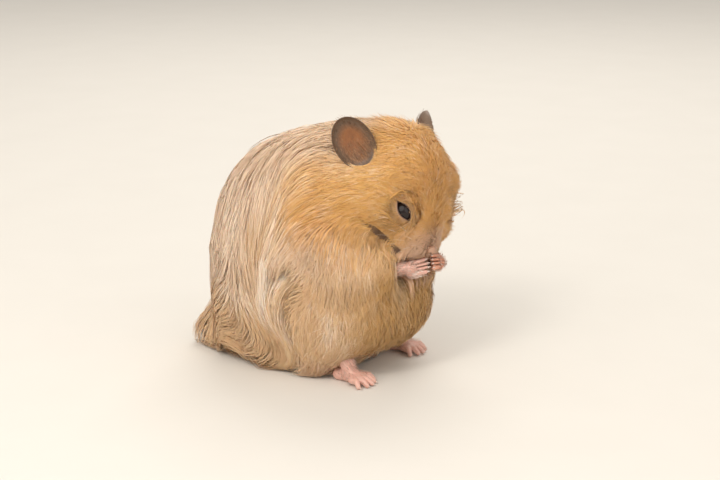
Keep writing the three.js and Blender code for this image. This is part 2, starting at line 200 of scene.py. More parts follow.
class Lattice:
    """A box of regular points, in axes of its own if given (rows of axes are unit vectors)."""

    def __init__(self, low, high, step, axes=None, origin=(0, 0, 0)):
        self.low, self.step = np.array(low, float), step
        self.shape = tuple(int(n) + 1 for n in np.ceil((np.array(high) - self.low) / step))
        self.axes = np.eye(3) if axes is None else np.array(axes)
        self.origin = np.array(origin, float)

    def points(self):
        index = np.indices(self.shape).reshape(3, -1).T
        return self.low + index * self.step

    def to_world(self, q):
        return q @ self.axes + self.origin

    def polygons(self, values, adaptivity=0.0):
        """The surface where values are zero, as corners in the row's frame and triangles."""
        band = 3 * self.step
        field = openvdb.FloatGrid(band)
        field.copyFromArray(np.clip(values.reshape(self.shape), -band, band).astype(np.float32))
        corners, triangles, quads = field.convertToPolygons(adaptivity=adaptivity)
        corners = self.to_world(self.low + corners.astype(float) * self.step)
        halves = quads[:, [0, 1, 2]], quads[:, [0, 2, 3]]
        triangles = np.vstack([triangles, *halves]).astype(np.int64)
        a, b, c = (corners[triangles[:, i]] for i in range(3))
        if np.einsum("ij,ij->i", a, np.cross(b, c)).sum() < 0:
            triangles = triangles[:, ::-1]
        return corners, triangles

    def distance(self, corners, triangles):
        """Signed distance to a closed surface, kept as far as REACH."""
        level = openvdb.FloatGrid.createLevelSetFromPolygons(
            (corners - self.low).astype(np.float32),
            triangles=triangles.astype(np.uint32),
            transform=openvdb.createLinearTransform(voxelSize=self.step),
            exBandWidth=REACH / self.step,
            inBandWidth=REACH / self.step,
        )
        values = np.empty(self.shape, np.float32)
        level.copyToArray(values)
        return values

    def sample(self, values, p):
        """Values at points p, where values has the lattice's shape and perhaps a last axis."""
        f = (p - self.low) / self.step
        f = np.clip(f, 0, np.array(self.shape) - 1.001)
        i = f.astype(int)
        t = (f - i).astype(np.float32)
        total = 0
        for corner in np.ndindex(2, 2, 2):
            weight = np.prod(np.where(corner, t, 1 - t), axis=1)
            part = values[tuple((i + corner).T)]
            total = total + (part * weight[:, None] if part.ndim == 2 else part * weight)
        return total


def blur(values, times):
    """Each value moved half way to its neighbours' mean, along each axis in turn."""
    for _ in range(times):
        for axis in range(3):
            ends = values.take([0], axis), values, values.take([-1], axis)
            padded = np.concatenate(ends, axis)
            n = values.shape[axis]
            near = padded.take(range(0, n), axis) + padded.take(range(2, n + 2), axis)
            values = values / 2 + near / 4
    return values


box_low, box_high = (np.array(corner) / MM for corner in CAD_BOX)
MARGIN = 9  # of the coarse lattice, round the solids
COARSE = Lattice(box_low - MARGIN, box_high + MARGIN, 1.0)


def on_lattice(values):
    return values.reshape(COARSE.shape).astype(np.float32)


def box_of(node):
    return (np.array(corner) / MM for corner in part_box(node))


def node_distance(name):
    """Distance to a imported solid, on the coarse lattice."""
    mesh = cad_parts[name].data
    mesh.calc_loop_triangles()
    corners = np.empty(len(mesh.vertices) * 3)
    mesh.vertices.foreach_get("co", corners)
    triangles = np.empty(len(mesh.loop_triangles) * 3, np.int32)
    mesh.loop_triangles.foreach_get("vertices", triangles)
    return COARSE.distance(corners.reshape(-1, 3) / MM, triangles.reshape(-1, 3))


FURRED = ["trunk", "neck", "head"] + [f"{n}_{s}" for n in ("foreleg", "hind_leg") for s in SIDES]
SKIRTS = [f"coat_skirt_{part}" for part in ("rear", "right", "left")]
WELD = 3.0  # how widely the solids run into each other where they meet
near_node = {name: node_distance(name) for name in FURRED + SKIRTS}


def joined(names):
    """One closed surface round several solids, and the true distance to it."""
    total = near_node[names[0]]
    for name in names[1:]:
        total = smooth_min(total, near_node[name], WELD)
    return COARSE.distance(*COARSE.polygons(total))


flesh = joined(FURRED)
coat_top = joined(FURRED + SKIRTS)

# ---- How deep the coat is. ----

lattice_points = COARSE.points()
in_head = to_head(lattice_points)
SOFT_EDGE = 5.0  # over which one part's depth of coat gives way to the next's


def near(*names):
    """1 inside these solids, next to 0 outside, with a soft edge."""
    least = np.min([near_node[n] for n in names], axis=0).ravel()
    return np.clip(0.5 - least / SOFT_EDGE, 0.01, 1)


z = lattice_points[:, 2]
x = lattice_points[:, 0]
forward = in_head[:, 0]
FLANK_TOP = 41  # where the trunk's solid narrows to a core under the long hair
CORE_DEPTH, BACK_DEPTH, BREAST_DEPTH, NECK_DEPTH = 1, 6, 4.5, 5.0
NOSE_DEPTH, CHEEK_DEPTH = 0.35, 2.75
WRIST_DEPTH, ARM_DEPTH = 0.4, 3.0
FOOT_DEPTH, THIGH_DEPTH = 0.5, 2.3
trunk_depth = between(CORE_DEPTH, BACK_DEPTH, ramp(z, FLANK_TOP - 6, FLANK_TOP + 8))
trunk_depth = between(trunk_depth, BREAST_DEPTH, ramp(x, 14, 24))
WRISTS = {"right": drawn(32.5, -11, 41), "left": drawn(36, 9.5, 38.5)}
to_wrist = nearest(lattice_points, WRISTS.values())
parts = [
    (near("trunk"), trunk_depth),
    (near("neck"), NECK_DEPTH),
    (near("head"), between(NOSE_DEPTH, CHEEK_DEPTH, ramp(forward, 9, -6))),
    (near("foreleg_right", "foreleg_left"), between(WRIST_DEPTH, ARM_DEPTH, ramp(to_wrist, 4, 18))),
    (near("hind_leg_right", "hind_leg_left"), between(FOOT_DEPTH, THIGH_DEPTH, ramp(z, 7, 16))),
]
weight = sum(w for w, _ in parts)
depth = sum(w * d for w, d in parts) / weight
skin = blur(flesh + on_lattice(depth), 2)

# The left cheek's ruff is longer hair: under it the face's skin is the right side's, mirrored.
mirrored = COARSE.sample(skin, from_head(in_head * np.array([1, -1, 1]))).reshape(COARSE.shape)
on_left_face = (
    ramp(in_head[:, 1], 0, 2)
    * ramp(forward, -18, -8)
    * ramp(near_node["head"].ravel(), 2, 0)
    * ramp(near_node["foreleg_left"].ravel(), 0, 3)
).reshape(COARSE.shape)
under_skin = skin + np.maximum(mirrored - skin, 0) * on_left_face

# A deep crease parts the right cheek from the arm, and the fur parts from the eye to the ear.
CREASE = [drawn(22.9, -22.6, 58.9), drawn(26.9, -19.6, 55.8)]
CREASE += [drawn(29.6, -15.8, 51.2), drawn(33.2, -13.2, 47.2)]
CREASE_RADII = [0.8, 1.2, 1.6, 1.3]
PARTING = [drawn(35.6, -17.4, 66.9), drawn(33.4, -19, 69.4)]
PARTING += [drawn(30.8, -20, 71.7), drawn(28, -20.4, 73.9)]
PARTING_RADII = [0.9, 0.9, 0.8, 0.5]
crease = chain(lattice_points, CREASE, CREASE_RADII).reshape(COARSE.shape)
parting = chain(lattice_points, PARTING, PARTING_RADII).reshape(COARSE.shape)
under_skin = smooth_max(under_skin, -crease, 1.5).astype(np.float32)
coat_top = smooth_max(blur(coat_top, 1), -crease, 1.5)
coat_top = smooth_max(coat_top, -parting, 1.2).astype(np.float32)

EYE_RADIUS = 4.0
LID_THICKNESS = 0.55
LID_HALF_LENGTH, LID_HALF_HEIGHT = 3.55, 1.5  # of the opening between the lids
LID_SOFTNESS = 4.5  # how widely the lids run into the face
# Balls that rise out of the face, in head axes: middle, radii and how softly each runs in.
FACE_BALLS = [
    ((11.2, -2.7, -6.2), (4.3, 3.1, 3.4), 1.5),  # the muzzle's right half
    ((11.2, 2.7, -6.2), (4.3, 3.1, 3.4), 1.5),  # and its left
    ((8, 0, -10.6), (4.4, 3.6, 2.6), 1.2),  # chin
    ((14.9, 0, -2.7), (1.5, 1.95, 1.4), 0.7),  # nose
]


def add_face_forms(q, sd):
    """Raises the muzzle, chin, nose and the lids over the eyeballs out of the skin."""
    for centre, radii, softness in FACE_BALLS:
        sd = smooth_min(sd, ball(q, centre, radii), softness)
    for eye in EYES.values():
        sd = smooth_min(sd, norms(q - to_head(eye)) - (EYE_RADIUS + LID_THICKNESS), LID_SOFTNESS)
    return sd


# The brow runs smoothly into the lids.
round_eyes = on_lattice(ramp(nearest(lattice_points, EYES.values()), 10, 6))
under_skin = between(under_skin, blur(under_skin, 5), round_eyes)
coat_top = between(coat_top, blur(coat_top, 5), round_eyes)
skin = on_lattice(add_face_forms(in_head, under_skin.ravel()))
LEAST_COAT = 0.75  # its depth where it is thinnest
coat_top = smooth_min(coat_top, skin - LEAST_COAT, 0.8).astype(np.float32)

# ---- The skin's finer pieces, each on a finer lattice. ----


def facing_out(s):
    """The way an eye and an ear look, on the side where +Y counts as s."""
    return np.array([0.17, 0.76 * s, 0.63])


def eye_axes(s):
    """The eye's opening, in head axes: along it, across it and out of the head."""
    out = unit(facing_out(s))
    toward_nose = np.array([1.0, -0.25 * s, 0.05])
    along = unit(toward_nose - out * (out @ toward_nose))
    return np.array([along, np.cross(out, along), out])


def almond(q, s):
    """How far q is across the lids from the eye's opening, negative in it, and q in eye axes."""
    e = (q - to_head(EYES["left" if s > 0 else "right"])) @ eye_axes(s).T
    from_middle = np.clip(np.abs(e[:, 0]) / LID_HALF_LENGTH, 0, 1.6)
    height = LID_HALF_HEIGHT * (1 - from_middle**2)
    return (np.abs(e[:, 1]) - height) * 0.75, e


def mouth_line(s):
    """Half of the mouth, from under the nose to its corner, in head axes."""
    return [(15.0, 0, -8.1), (13.2, s * 2.3, -9.4), (10, s * 4.3, -9.9), (6.4, s * 5.6, -9.4)]


def nostril_line(s):
    return [(16.6, s * 0.6, -3.1), (15.8, s * 1.4, -2.5)]


CLEFT = [(16.2, 0, -4.2), (16.0, 0, -6.0), (15.2, 0, -8.0)]  # from the nose down to the mouth
NOSTRIL_RADII = [0.26, 0.2]
LID_FOLD_AT, LID_FOLD_WIDTH, LID_FOLD_DEPTH = 1.0, 0.2, 0.1


def face_field(p):
    """The face's skin, with its mouth, nostrils, lids and the hollows that the eyes lie in."""
    q = to_head(p)
    sd = add_face_forms(q, COARSE.sample(under_skin, p))
    grooves = [(CLEFT, [0.3, 0.35, 0.4], 0.5)]
    for s in SIDES.values():
        grooves.append((mouth_line(s), [0.4, 0.45, 0.5, 0.4], 0.5))
        grooves.append((nostril_line(s), NOSTRIL_RADII, 0.3))
    for points, radii, softness in grooves:
        sd = smooth_max(sd, -chain(q, points, radii), softness)
    for s in SIDES.values():
        opening, e = almond(q, s)
        from_centre = norms(e)
        ahead = e[:, 2] > 0
        sd = np.where(ahead, smooth_max(sd, -opening, 0.5), sd)
        fold = np.exp(-(((opening - LID_FOLD_AT) / LID_FOLD_WIDTH) ** 2))
        sd = sd + LID_FOLD_DEPTH * fold * ahead * (from_centre < 7)
        sd = np.maximum(sd, EYE_RADIUS + 0.04 - from_centre)
    return sd


FACE_REGION = ((3, 0, -3.5), (17.5, 17, 14))  # middle and radii, in head axes


def face_share(p):
    """Distance out of the region in which the face's finer surface stands for the skin."""
    return ball(to_head(p), *FACE_REGION)


def elbow(s):
    return drawn(18, s * 21, 36)


def body_field(p):
    """The skin over trunk, neck, back of the head, legs and tail, sunk a little under the face."""
    sd = COARSE.sample(skin, p)
    for side, s in SIDES.items():
        sd = smooth_min(sd, limb(p, elbow(s), WRISTS[side], 4.0, 2.3), 2.0)
    tail_low, tail_high = box_of("tail")
    across = middle("tail")[1]
    tip = np.array([tail_low[0] + 2, across, tail_low[2] + 1.5])
    base = np.array([tail_high[0], across, tail_high[2] - 3])
    sd = smooth_min(sd, limb(p, base, tip, 2.2, 1.0), 1.0)
    sd = sd + 0.8 * ramp(face_share(p), 0.5, -1.5)
    return np.maximum(sd, EYE_RADIUS + 0.6 - nearest(p, EYES.values()))


PALMS = {"right": drawn(36.6, -8.9, 40.8), "left": drawn(40.9, 4.4, 40.6)}
FINGERTIPS = {
    side: np.mean([middle(f"claw_forepaw_{side}_{i}") for i in range(1, 5)], axis=0)
    for side in SIDES
}


KNUCKLES = {"right": 0.8, "left": -1.2}  # from the palm's middle: where the fingers part
FINGER_PITCH = 1.2
FINGER_GAPS = (-FINGER_PITCH, 0, FINGER_PITCH)  # across the palm


def digit(p, root, tip, arch, bend, radii):
    """A finger or toe, its knuckle arch above the line from root to tip at its share bend."""
    return chain(p, [root, root + bend * (tip - root) + arch, tip], radii)


def paw_field(side):
    """A forepaw: the arm's end, the palm and four fingers that end at their claws."""
    claws = [middle(f"claw_forepaw_{side}_{i}") for i in range(1, 5)]
    palm, wrist = PALMS[side], WRISTS[side]
    reach = unit(FINGERTIPS[side] - palm)
    spread = unit(claws[3] - claws[0])
    back = unit(np.cross(reach, spread))
    if back @ (palm - NOSE) > 0:
        back = -back

    def field(p):
        up_arm = between(wrist, elbow(SIDES[side]), 0.25)
        in_palm = (p - palm) @ np.array([reach, spread, back]).T
        sd = merged(
            limb(p, up_arm, wrist, 2.9, 2.2),
            (limb(p, wrist, palm, 2.1, 1.9), 1.2),
            (ball(in_palm, (0, 0, 0), (2.3, 2.7, 1.7)), 1.0),
        )
        for i, claw in enumerate(claws):
            root = palm + spread * ((i - 1.5) * FINGER_PITCH) + reach * 0.8
            tip = claw - reach * 1.0
            finger = digit(p, root, tip, back * 0.55, 0.5, [0.95, 0.78, 0.68])
            pad = norms(p - (tip - back * 0.25)) - 0.72
            sd = smooth_min(sd, smooth_min(finger, pad, 0.2), 0.25)
        along, at = (p - palm) @ reach, (p - palm) @ spread
        for gap in FINGER_GAPS:
            groove = np.exp(-(((at - gap) / 0.2) ** 2))
            sd = sd + 0.4 * groove * ramp(along, KNUCKLES[side], KNUCKLES[side] + 1.4)
        return sd

    low, high = box_of(f"forepaw_{side}")
    return field, low - 3.5, high + 2.5


def foot_field(side):
    """A hind foot: ankle, heel, sole, three pads and five toes that end at their claws."""
    s = SIDES[side]
    claws = [middle(f"claw_hind_foot_{side}_{i}") for i in range(1, 6)]
    ankle, sole = drawn(15, s * 18.5, 10.5), drawn(21, s * 20, 2.4)
    heel = sole + (-7, -s * 1.2, -0.3)

    def field(p):
        sd = merged(
            limb(p, ankle + (-1, 0, 2), ankle, 4.0, 3.3),
            (limb(p, ankle, sole + (-1, 0, 0.3), 3.3, 2.1), 2.0),
            (limb(p, heel, sole, 2.2, 2.0), 1.5),
            (ball(p, sole + (1.2, 0, -0.3), (3.4, 4.6, 2.0)), 1.2),
        )
        for i, claw in enumerate(claws):
            root, tip = sole + (1.8, (i - 2) * 1.75, -0.2), claw + (-0.9, 0, 0.05)
            toe = digit(p, root, tip, np.array([0, 0, 0.75]), 0.55, [1.25, 1.0, 0.85])
            sd = smooth_min(sd, toe, 0.3)
        for across in (-2.4, 0, 2.4):
            sd = smooth_min(sd, norms(p - (sole + (2.6, across, -1.9))) - 0.8, 0.4)
        return np.maximum(sd, 0.03 - p[:, 2])

    low, high = box_of(f"hind_foot_{side}")
    return field, low - np.array([2, 2, 1]), high + np.array([2, 2, 6])


EAR_CENTRE_BACK, EAR_CENTRE_OUT, EAR_CENTRE_UP = -26, 20.9, -1
EAR_RADII = (9.6, 6.9, 4.1)


def ear_axes(s):
    """An ear's axes in the row's frame: toward its tip, across and out of its opening."""
    tipward = unit(np.array([-0.95, 0.3 * s, 0.02]))
    opening = facing_out(s)
    opening = unit(opening - tipward * (opening @ tipward))
    across = np.cross(opening, tipward)
    return np.array([tipward, across, opening]) @ HEAD


def ear_centre(s):
    return from_head((EAR_CENTRE_BACK, EAR_CENTRE_OUT * s, EAR_CENTRE_UP))


def in_ear(p, s):
    return (p - ear_centre(s)) @ ear_axes(s).T


def bowl(e):
    """How far out across the ear's bowl: below 1 within its rim."""
    return (e[:, 0] / EAR_RADII[0]) ** 2 + (e[:, 1] / EAR_RADII[1]) ** 2


def ear_field(e):
    """The ear in its own axes: a thin bowl with a wavy rim, a root and three ridges inside."""
    wobble = 0.25 * np.sin(e[:, 0] * 0.7 + 1) + 0.2 * np.sin(e[:, 1] * 1.1)
    outer = ball(e, (0, 0, 0), EAR_RADII)
    inner = ball(e, (0.1, 0, 0.62), (9.3, 6.6, 3.95))
    sd = smooth_max(outer, -inner, 0.25)
    sd = np.maximum(sd, e[:, 2] - 1.6 - wobble)
    base = ball(e, (-8.5, 0, -2.5), (3.2, 4.8, 2.4))
    sd = smooth_min(sd, base, 1.0)
    ridges = [
        ([(-8, -2.6, -1.6), (-4, -2.3, -2.5), (0, -1.6, -3.2)], [0.7, 0.55, 0.2]),
        ([(-8.5, 1.8, -1.2), (-5, 2.6, -2.0), (-2, 3.4, -2.4)], [0.7, 0.5, 0.2]),
        ([(-7.5, -0.3, -2.2), (-3, 0.5, -3.2)], [0.6, 0.2]),
    ]
    for points, radii in ridges:
        sd = smooth_min(sd, chain(e, points, radii), 0.5)
    return sd


BODY, FACE, PAW, EAR, FOOT = 0, 1, 2, 3, 4
skin_corners, skin_triangles, skin_kind = [], [], []


def add_skin(lattice, field, adaptivity, kind):
    """Adds one closed shell to the skin. An ear's field takes points in its lattice's own axes."""
    q = lattice.points()
    values = field(q if kind == EAR else lattice.to_world(q))
    corners, triangles = lattice.polygons(values, adaptivity)
    skin_triangles.append(triangles + sum(len(c) for c in skin_corners))
    skin_corners.append(corners)
    skin_kind.append(np.full(len(corners), kind))


add_skin(Lattice(box_low - 1, box_high + 1, 0.8), body_field, 0.02, BODY)


def cut_face(p):
    return np.maximum(face_field(p), face_share(p))


add_skin(Lattice((-16, -19, -19), (21, 19, 12), 0.3, HEAD, HEAD_AT), cut_face, 0.01, FACE)
for side, s in SIDES.items():
    field, low, high = paw_field(side)
    add_skin(Lattice(low, high, 0.25), field, 0.0, PAW)
    field, low, high = foot_field(side)
    add_skin(Lattice(low, high, 0.3), field, 0.0, FOOT)
    ear_box = Lattice((-12.5, -8, -6), (10.5, 8, 3.5), 0.25, ear_axes(s), ear_centre(s))
    add_skin(ear_box, ear_field, 0.0, EAR)

skin_corners = np.vstack(skin_corners)
skin_triangles = np.vstack(skin_triangles)
skin_kind = np.concatenate(skin_kind)


def make_mesh(name, corners, faces, **attributes):
    """A mesh piece from corners in millimetres and triangles or quads, with named attributes."""
    mesh = bpy.data.meshes.new(name)
    mesh.vertices.add(len(corners))
    mesh.vertices.foreach_set("co", (corners * MM).astype(np.float32).ravel())
    size = faces.shape[1]
    mesh.loops.add(faces.size)
    mesh.loops.foreach_set("vertex_index", faces.astype(np.int32).ravel())
    mesh.polygons.add(len(faces))
    mesh.polygons.foreach_set("loop_start", np.arange(0, faces.size, size, dtype=np.int32))
    mesh.update(calc_edges=True)
    mesh.polygons.foreach_set("use_smooth", np.ones(len(faces), bool))
    for key, values in attributes.items():
        vector = values.ndim == 2
        attribute = mesh.attributes.new(key, "FLOAT_VECTOR" if vector else "FLOAT", "POINT")
        values = values.astype(np.float32).ravel()
        attribute.data.foreach_set("vector" if vector else "value", values)
    piece = bpy.data.objects.new(name, mesh)
    bpy.context.scene.collection.objects.link(piece)
    return piece


# ---- Where the skin is bare, its marks, and the shade painted into its hollows. ----

NOSTRILS_AT = (15.5, 0, -3)
FINE_LINE = [0.4] * 4  # radii along a line's four points
q = to_head(skin_corners)
is_face, is_paw, is_ear, is_foot = (skin_kind == k for k in (FACE, PAW, EAR, FOOT))
bare = is_paw * 1.0
bare[is_foot] = ramp(skin_corners[is_foot, 2], 16, 8)
bare = np.maximum(bare, is_face * ramp(norms(q - np.array(NOSTRILS_AT)), 3.0, 2.2))
pale = is_face * ramp(norms(q - np.array([12, 0, -6])), 12, 5)
# dark is painted shade on the skin: the lids' edges, the mouth, the nostrils and the gaps between
# the fingers, where shade falls; at the lids it is partly their own dark rim.
dark = np.zeros(len(q))
for s in SIDES.values():
    opening, e = almond(q, s)
    close = (norms(e) < 6.5) & (e[:, 2] > 0) & is_face
    dark = np.maximum(dark, close * ramp(opening, 0.55, 0.2))
    pale = np.maximum(pale, close * ramp(opening, 3.2, 0.9))
    mouth = chain(q, mouth_line(s), FINE_LINE)
    nostril = chain(q, nostril_line(s), NOSTRIL_RADII)
    dark = np.maximum(dark, 0.8 * is_face * ramp(mouth, 0.35, 0.0))
    dark = np.maximum(dark, 0.7 * is_face * ramp(nostril, 0.2, 0.0))
for side in SIDES:
    spread = unit(middle(f"claw_forepaw_{side}_4") - middle(f"claw_forepaw_{side}_1"))
    from_palm = skin_corners - PALMS[side]
    at = from_palm @ spread
    mine = is_paw & (norms(from_palm) < 9)
    along = from_palm @ unit(FINGERTIPS[side] - PALMS[side])
    parted = ramp(along, KNUCKLES[side], KNUCKLES[side] + 1.4)
    # Painted shade along the gaps between the fingers.
    for gap in FINGER_GAPS:
        line = ramp(np.abs(at - gap), 0.3, 0.08) * parted
        dark = np.maximum(dark, 0.35 * mine * line)
# The far forepaw is tinted deeper orange: partly its own colour, partly painted shade for the shade
# it lies in.
flush = is_paw * ramp(left_of_middle(skin_corners), -3.5, -2.5)
# Painted shade in the crease between cheek and arm.
in_crease = ramp(chain(skin_corners, CREASE, CREASE_RADII), 2.4, 0.6)
dark = np.maximum(dark, 0.8 * in_crease)
ear = np.zeros(len(q))
ear_rim = np.zeros(len(q))
for s in SIDES.values():
    e = in_ear(skin_corners, s)
    mine = is_ear & (norms(e) < 20)
    ear[mine] = 1
    inside = e[:, 2] > -EAR_RADII[2] * np.sqrt(np.clip(1 - bowl(e), 0, 1)) + 0.35
    ear_rim[mine] = np.where(inside, ramp(np.sqrt(bowl(e)), 0.4, 0.85), 1)[mine]

skin_piece = make_mesh(
    "skin", skin_corners, skin_triangles,
    root=skin_corners * MM, bare=bare, pale=pale, dark=dark, ear=ear, ear_rim=ear_rim, flush=flush,
    tone=np.full(len(q), 0.5), along=np.zeros(len(q)),
)

# ---- The way the coat lies. ----

arm_near = np.minimum(near_node["foreleg_right"], near_node["foreleg_left"])
thigh_near = np.minimum(near_node["hind_leg_right"], near_node["hind_leg_left"])
skirt_near = np.min([near_node[n] for n in SKIRTS], axis=0)
distances = np.stack([skin, coat_top, near_node["head"], arm_near, thigh_near, skirt_near], axis=-1)
slopes = [np.stack(np.gradient(top, COARSE.step), axis=-1) for top in (coat_top, skin)]
FIELDS = np.concatenate([distances, *slopes], axis=-1).astype(np.float32)


def square_to(axis, v):
    """v with its share along axis taken off, row by row."""
    return v - axis * np.einsum("ij,ij->i", v, axis)[:, None]


def turned(v, axis, angle):
    """v, square to axis, turned about it."""
    return v * np.cos(angle)[:, None] + np.cross(axis, v) * np.sin(angle)[:, None]


class Place:
    """What the fields say at some points."""

    def __init__(self, p):
        values = COARSE.sample(FIELDS, p)
        self.skin, self.top = values[:, 0], values[:, 1]
        self.head, self.arm, self.thigh, self.skirt = values[:, 2:6].T
        self.depth = np.maximum(self.skin - self.top, 0.3)
        share = np.clip(self.skin / self.depth, 0, 1)[:, None]
        self.out = unit(unit(values[:, 6:9]) * share + unit(values[:, 9:12]) * (1 - share))


def flow(p, place):
    """The direction in which hair at p lies, along the surface."""
    side = np.tanh(left_of_middle(p) / 6)
    px, pz = ahead_of_middle(p), p[:, 2]

    def way(dx, dy, dz):
        d = np.empty_like(p)
        d[:, 0], d[:, 1], d[:, 2] = dx, side * dy, dz
        return unit(d)

    lie = way(-1, 0.12, -0.2)  # back along the spine
    for toward, share in (
        (way(-0.1, 0.12, -1), np.maximum(ramp(px, 16, -16), ramp(pz, 64, 38))),  # down the sides
        (way(0.38, 0.1, -1), 0.8 * ramp(pz, 46, 34) * ramp(px, -14, -2) * ramp(pz, 10, 18)),
        (way(-0.8, 0.3, -0.8), ramp(pz, 16, 3) * ramp(px, 12, -4)),  # the skirt near the floor
        (way(-0.8, 0.2, -0.6), ramp(px, -18, -32) * ramp(pz, 38, 14)),  # the rump
        (way(-0.25, 0.1, -1), ramp(px, 22, 32)),  # the breast
        (way(-0.4, 0.1, -0.9), ramp(place.arm, 5, -3)),
        (way(-0.2, 0.1, -1), ramp(place.thigh, 5, -3) * ramp(px, 0, 10)),
    ):
        lie = between(lie, toward, share[:, None])
    q = to_head(p)
    from_nose = unit(p - (NOSE - 2.0 * HEAD[2]))
    cheekward = np.clip(np.abs(q[:, 1]) / 14, 0, 1) * ramp(q[:, 0], 10, -12)
    face = unit(from_nose + np.array([-0.6, 0, -0.5]) * cheekward[:, None])
    on_face = ramp(place.head, 1.5, -1.5) * ramp(q[:, 0], -30, -20)
    lie = between(lie, face, on_face[:, None])
    on_skirt = ramp(place.skirt, 8, 0)
    swirl = 0.12 + 0.22 * on_skirt + 0.10 * ramp(pz, 55, 30)
    angle = swirl * waves(p * np.array([1, 1, 0.5]), 30, 11) * math.tau / 4
    curve = np.sin(pz / 5.5 + 2.2 * waves(p * np.array([1, 1, 0.1]), 34, 5))
    angle += 0.32 * on_skirt * curve
    return turned(unit(square_to(place.out, lie)), place.out, angle)


FLOOR_CLEAR = 0.25
ROOT_DEPTH = 0.3  # of each hair's root in the skin
FINE_STEPS = 2  # of growth to each point kept


def grow(roots, lengths, heights, steps, stray, lift=0.0, steep=1.1):
    """Paths of hairs: each starts in the skin, rises to its height's share of the coat, and lies.

    Its tip stands up by lift above that height, and it rises no more steeply than steep.
    """
    p = roots - Place(roots).out * ROOT_DEPTH
    path = [p.copy()]
    moves = steps * FINE_STEPS
    pace = lengths / moves
    angle = dice.normal(0, stray, len(roots))
    for move in range(1, moves + 1):
        place = Place(p)
        share = move / moves
        goal = heights * min(1.0, 0.35 + 1.3 * share) * place.depth + lift * share**2
        rise = np.clip((goal - place.skin) / pace, -0.9, steep)
        lie = turned(flow(p, place), place.out, angle)
        p = p + unit(lie + place.out * rise[:, None]) * pace[:, None]
        p[:, 2] = np.maximum(p[:, 2], FLOOR_CLEAR + 0.15 * np.abs(angle))
        if move % FINE_STEPS == 0:
            path.append(p.copy())
    return np.stack(path, axis=1)


def gather(paths, spacing_share, strength, power=1.3):
    """Draws hairs together toward their nearest leader as they run to their tips."""
    count = len(paths)
    leaders = dice.choice(count, max(2, int(count * spacing_share)), replace=False)
    tree = kdtree.KDTree(len(leaders))
    for i, leader in enumerate(leaders):
        tree.insert(paths[leader, 1], i)
    tree.balance()
    chosen = np.array([tree.find(point)[1] for point in paths[:, 1]])
    lead = paths[leaders[chosen]]
    s = np.linspace(0, 1, paths.shape[1])[None, :, None] ** power
    pull = np.clip(strength * dice.uniform(0.6, 1.15, (count, 1, 1)), 0, 0.95) * s
    return between(paths, lead, pull), leaders[chosen]


BARE_BOWL = 0.72  # of an ear's bowl, as bowl() has it, stays clear of the coat


def in_the_way(p, tips_end):
    """True where no hair may pass: before an eye, in an ear's bowl, on the fingers, in the floor.

    The left eye, which the photograph shows, has a clear cone before it and no fluff round it.
    """
    shut = p[:, 2] < tips_end
    q = to_head(p)
    for side, s in SIDES.items():
        opening, e = almond(q, s)
        shut |= (e[:, 2] > 0) & (norms(e) < 9) & (opening < 0.3)
        e = in_ear(p, s)
        shut |= (bowl(e) < BARE_BOWL) & (e[:, 2] > -3.6) & (e[:, 2] < 6)
        shut |= limb(p, PALMS[side], FINGERTIPS[side], 2.3, 2.0) < 0
    eye, outward = EYES["left"], eye_axes(SIDES["left"])[2] @ HEAD
    shut |= limb(p, eye + 4.5 * outward, eye + 14 * outward, 1.7, 4.4) < 0
    shut |= (norms(p - eye) < 15) & (COARSE.sample(coat_top, p) > 0.5)
    shut |= norms(q - np.array([15.2, 0, -3])) < 2.1
    shut |= chain(p, CREASE, CREASE_RADII) < 0.4
    return shut


TRIM_MARKS = 3  # places looked at along each step of a path
KEPT_BACK = 0.3  # of a step, between a cut path's end and what it would run into


def trimmed(paths, tips_end):
    """Paths cut short of whatever they would run into."""
    count, points, _ = paths.shape
    marks = np.linspace(0, points - 1, (points - 1) * TRIM_MARKS + 1)
    before = np.minimum(marks.astype(int), points - 2)
    past = (marks - before)[None, :, None]
    fine = between(paths[:, before], paths[:, before + 1], past)
    shut = in_the_way(fine.reshape(-1, 3), np.repeat(tips_end, len(marks))).reshape(count, -1)
    stop = np.maximum(marks[shut.argmax(axis=1)] - KEPT_BACK, KEPT_BACK)
    end = np.where(shut.any(axis=1), stop, points - 1)
    index = np.linspace(0, 1, points)[None] * end[:, None]
    i = np.minimum(index.astype(int), points - 2)
    t = (index - i)[..., None]
    hair = np.arange(count)[:, None]
    return between(paths[hair, i], paths[hair, i + 1], t)


# ---- Roots, spread over the skin by how thick the coat is to be. ----

scalp_corners, scalp_triangles = COARSE.polygons(skin)


def triangle_normals(corners, triangles):
    """Each triangle's normal, twice its area long."""
    a, b, c = (corners[triangles[:, i]] for i in range(3))
    return np.cross(b - a, c - a)


def unwrap(corners, triangles):
    """Blender's own unwrap of the skin's shape: a UV for each corner of each triangle."""
    piece = make_mesh("scalp", corners, triangles)
    bpy.context.view_layer.objects.active = piece
    piece.select_set(True)
    bpy.ops.object.mode_set(mode="EDIT")
    bpy.ops.mesh.select_all(action="SELECT")
    bpy.ops.uv.smart_project(angle_limit=math.radians(66), island_margin=0.004)
    bpy.ops.object.mode_set(mode="OBJECT")
    uv = np.empty(len(triangles) * 6, np.float32)
    piece.data.uv_layers.active.data.foreach_get("uv", uv)
    bpy.data.objects.remove(piece)
    return uv.reshape(-1, 3, 2)


SCALP = (scalp_corners, scalp_triangles, unwrap(scalp_corners, scalp_triangles))


def scatter(count, density, surface=SCALP):
    """Roots spread over a surface, with each root's place on the unwrap and its triangle."""
    corners, triangles, uv = surface
    area = norms(triangle_normals(corners, triangles)) / 2
    weight = area * density(corners[triangles].mean(axis=1))
    picked = dice.choice(len(weight), count, p=weight / weight.sum())
    u, v = dice.random(count), dice.random(count)
    fold = u + v > 1
    u, v = np.where(fold, 1 - u, u), np.where(fold, 1 - v, v)
    shares = np.stack([1 - u - v, u, v], axis=1)
    roots = np.einsum("ij,ijk->ik", shares, corners[triangles[picked]])
    return roots, np.einsum("ij,ijk->ik", shares, uv[picked]), picked


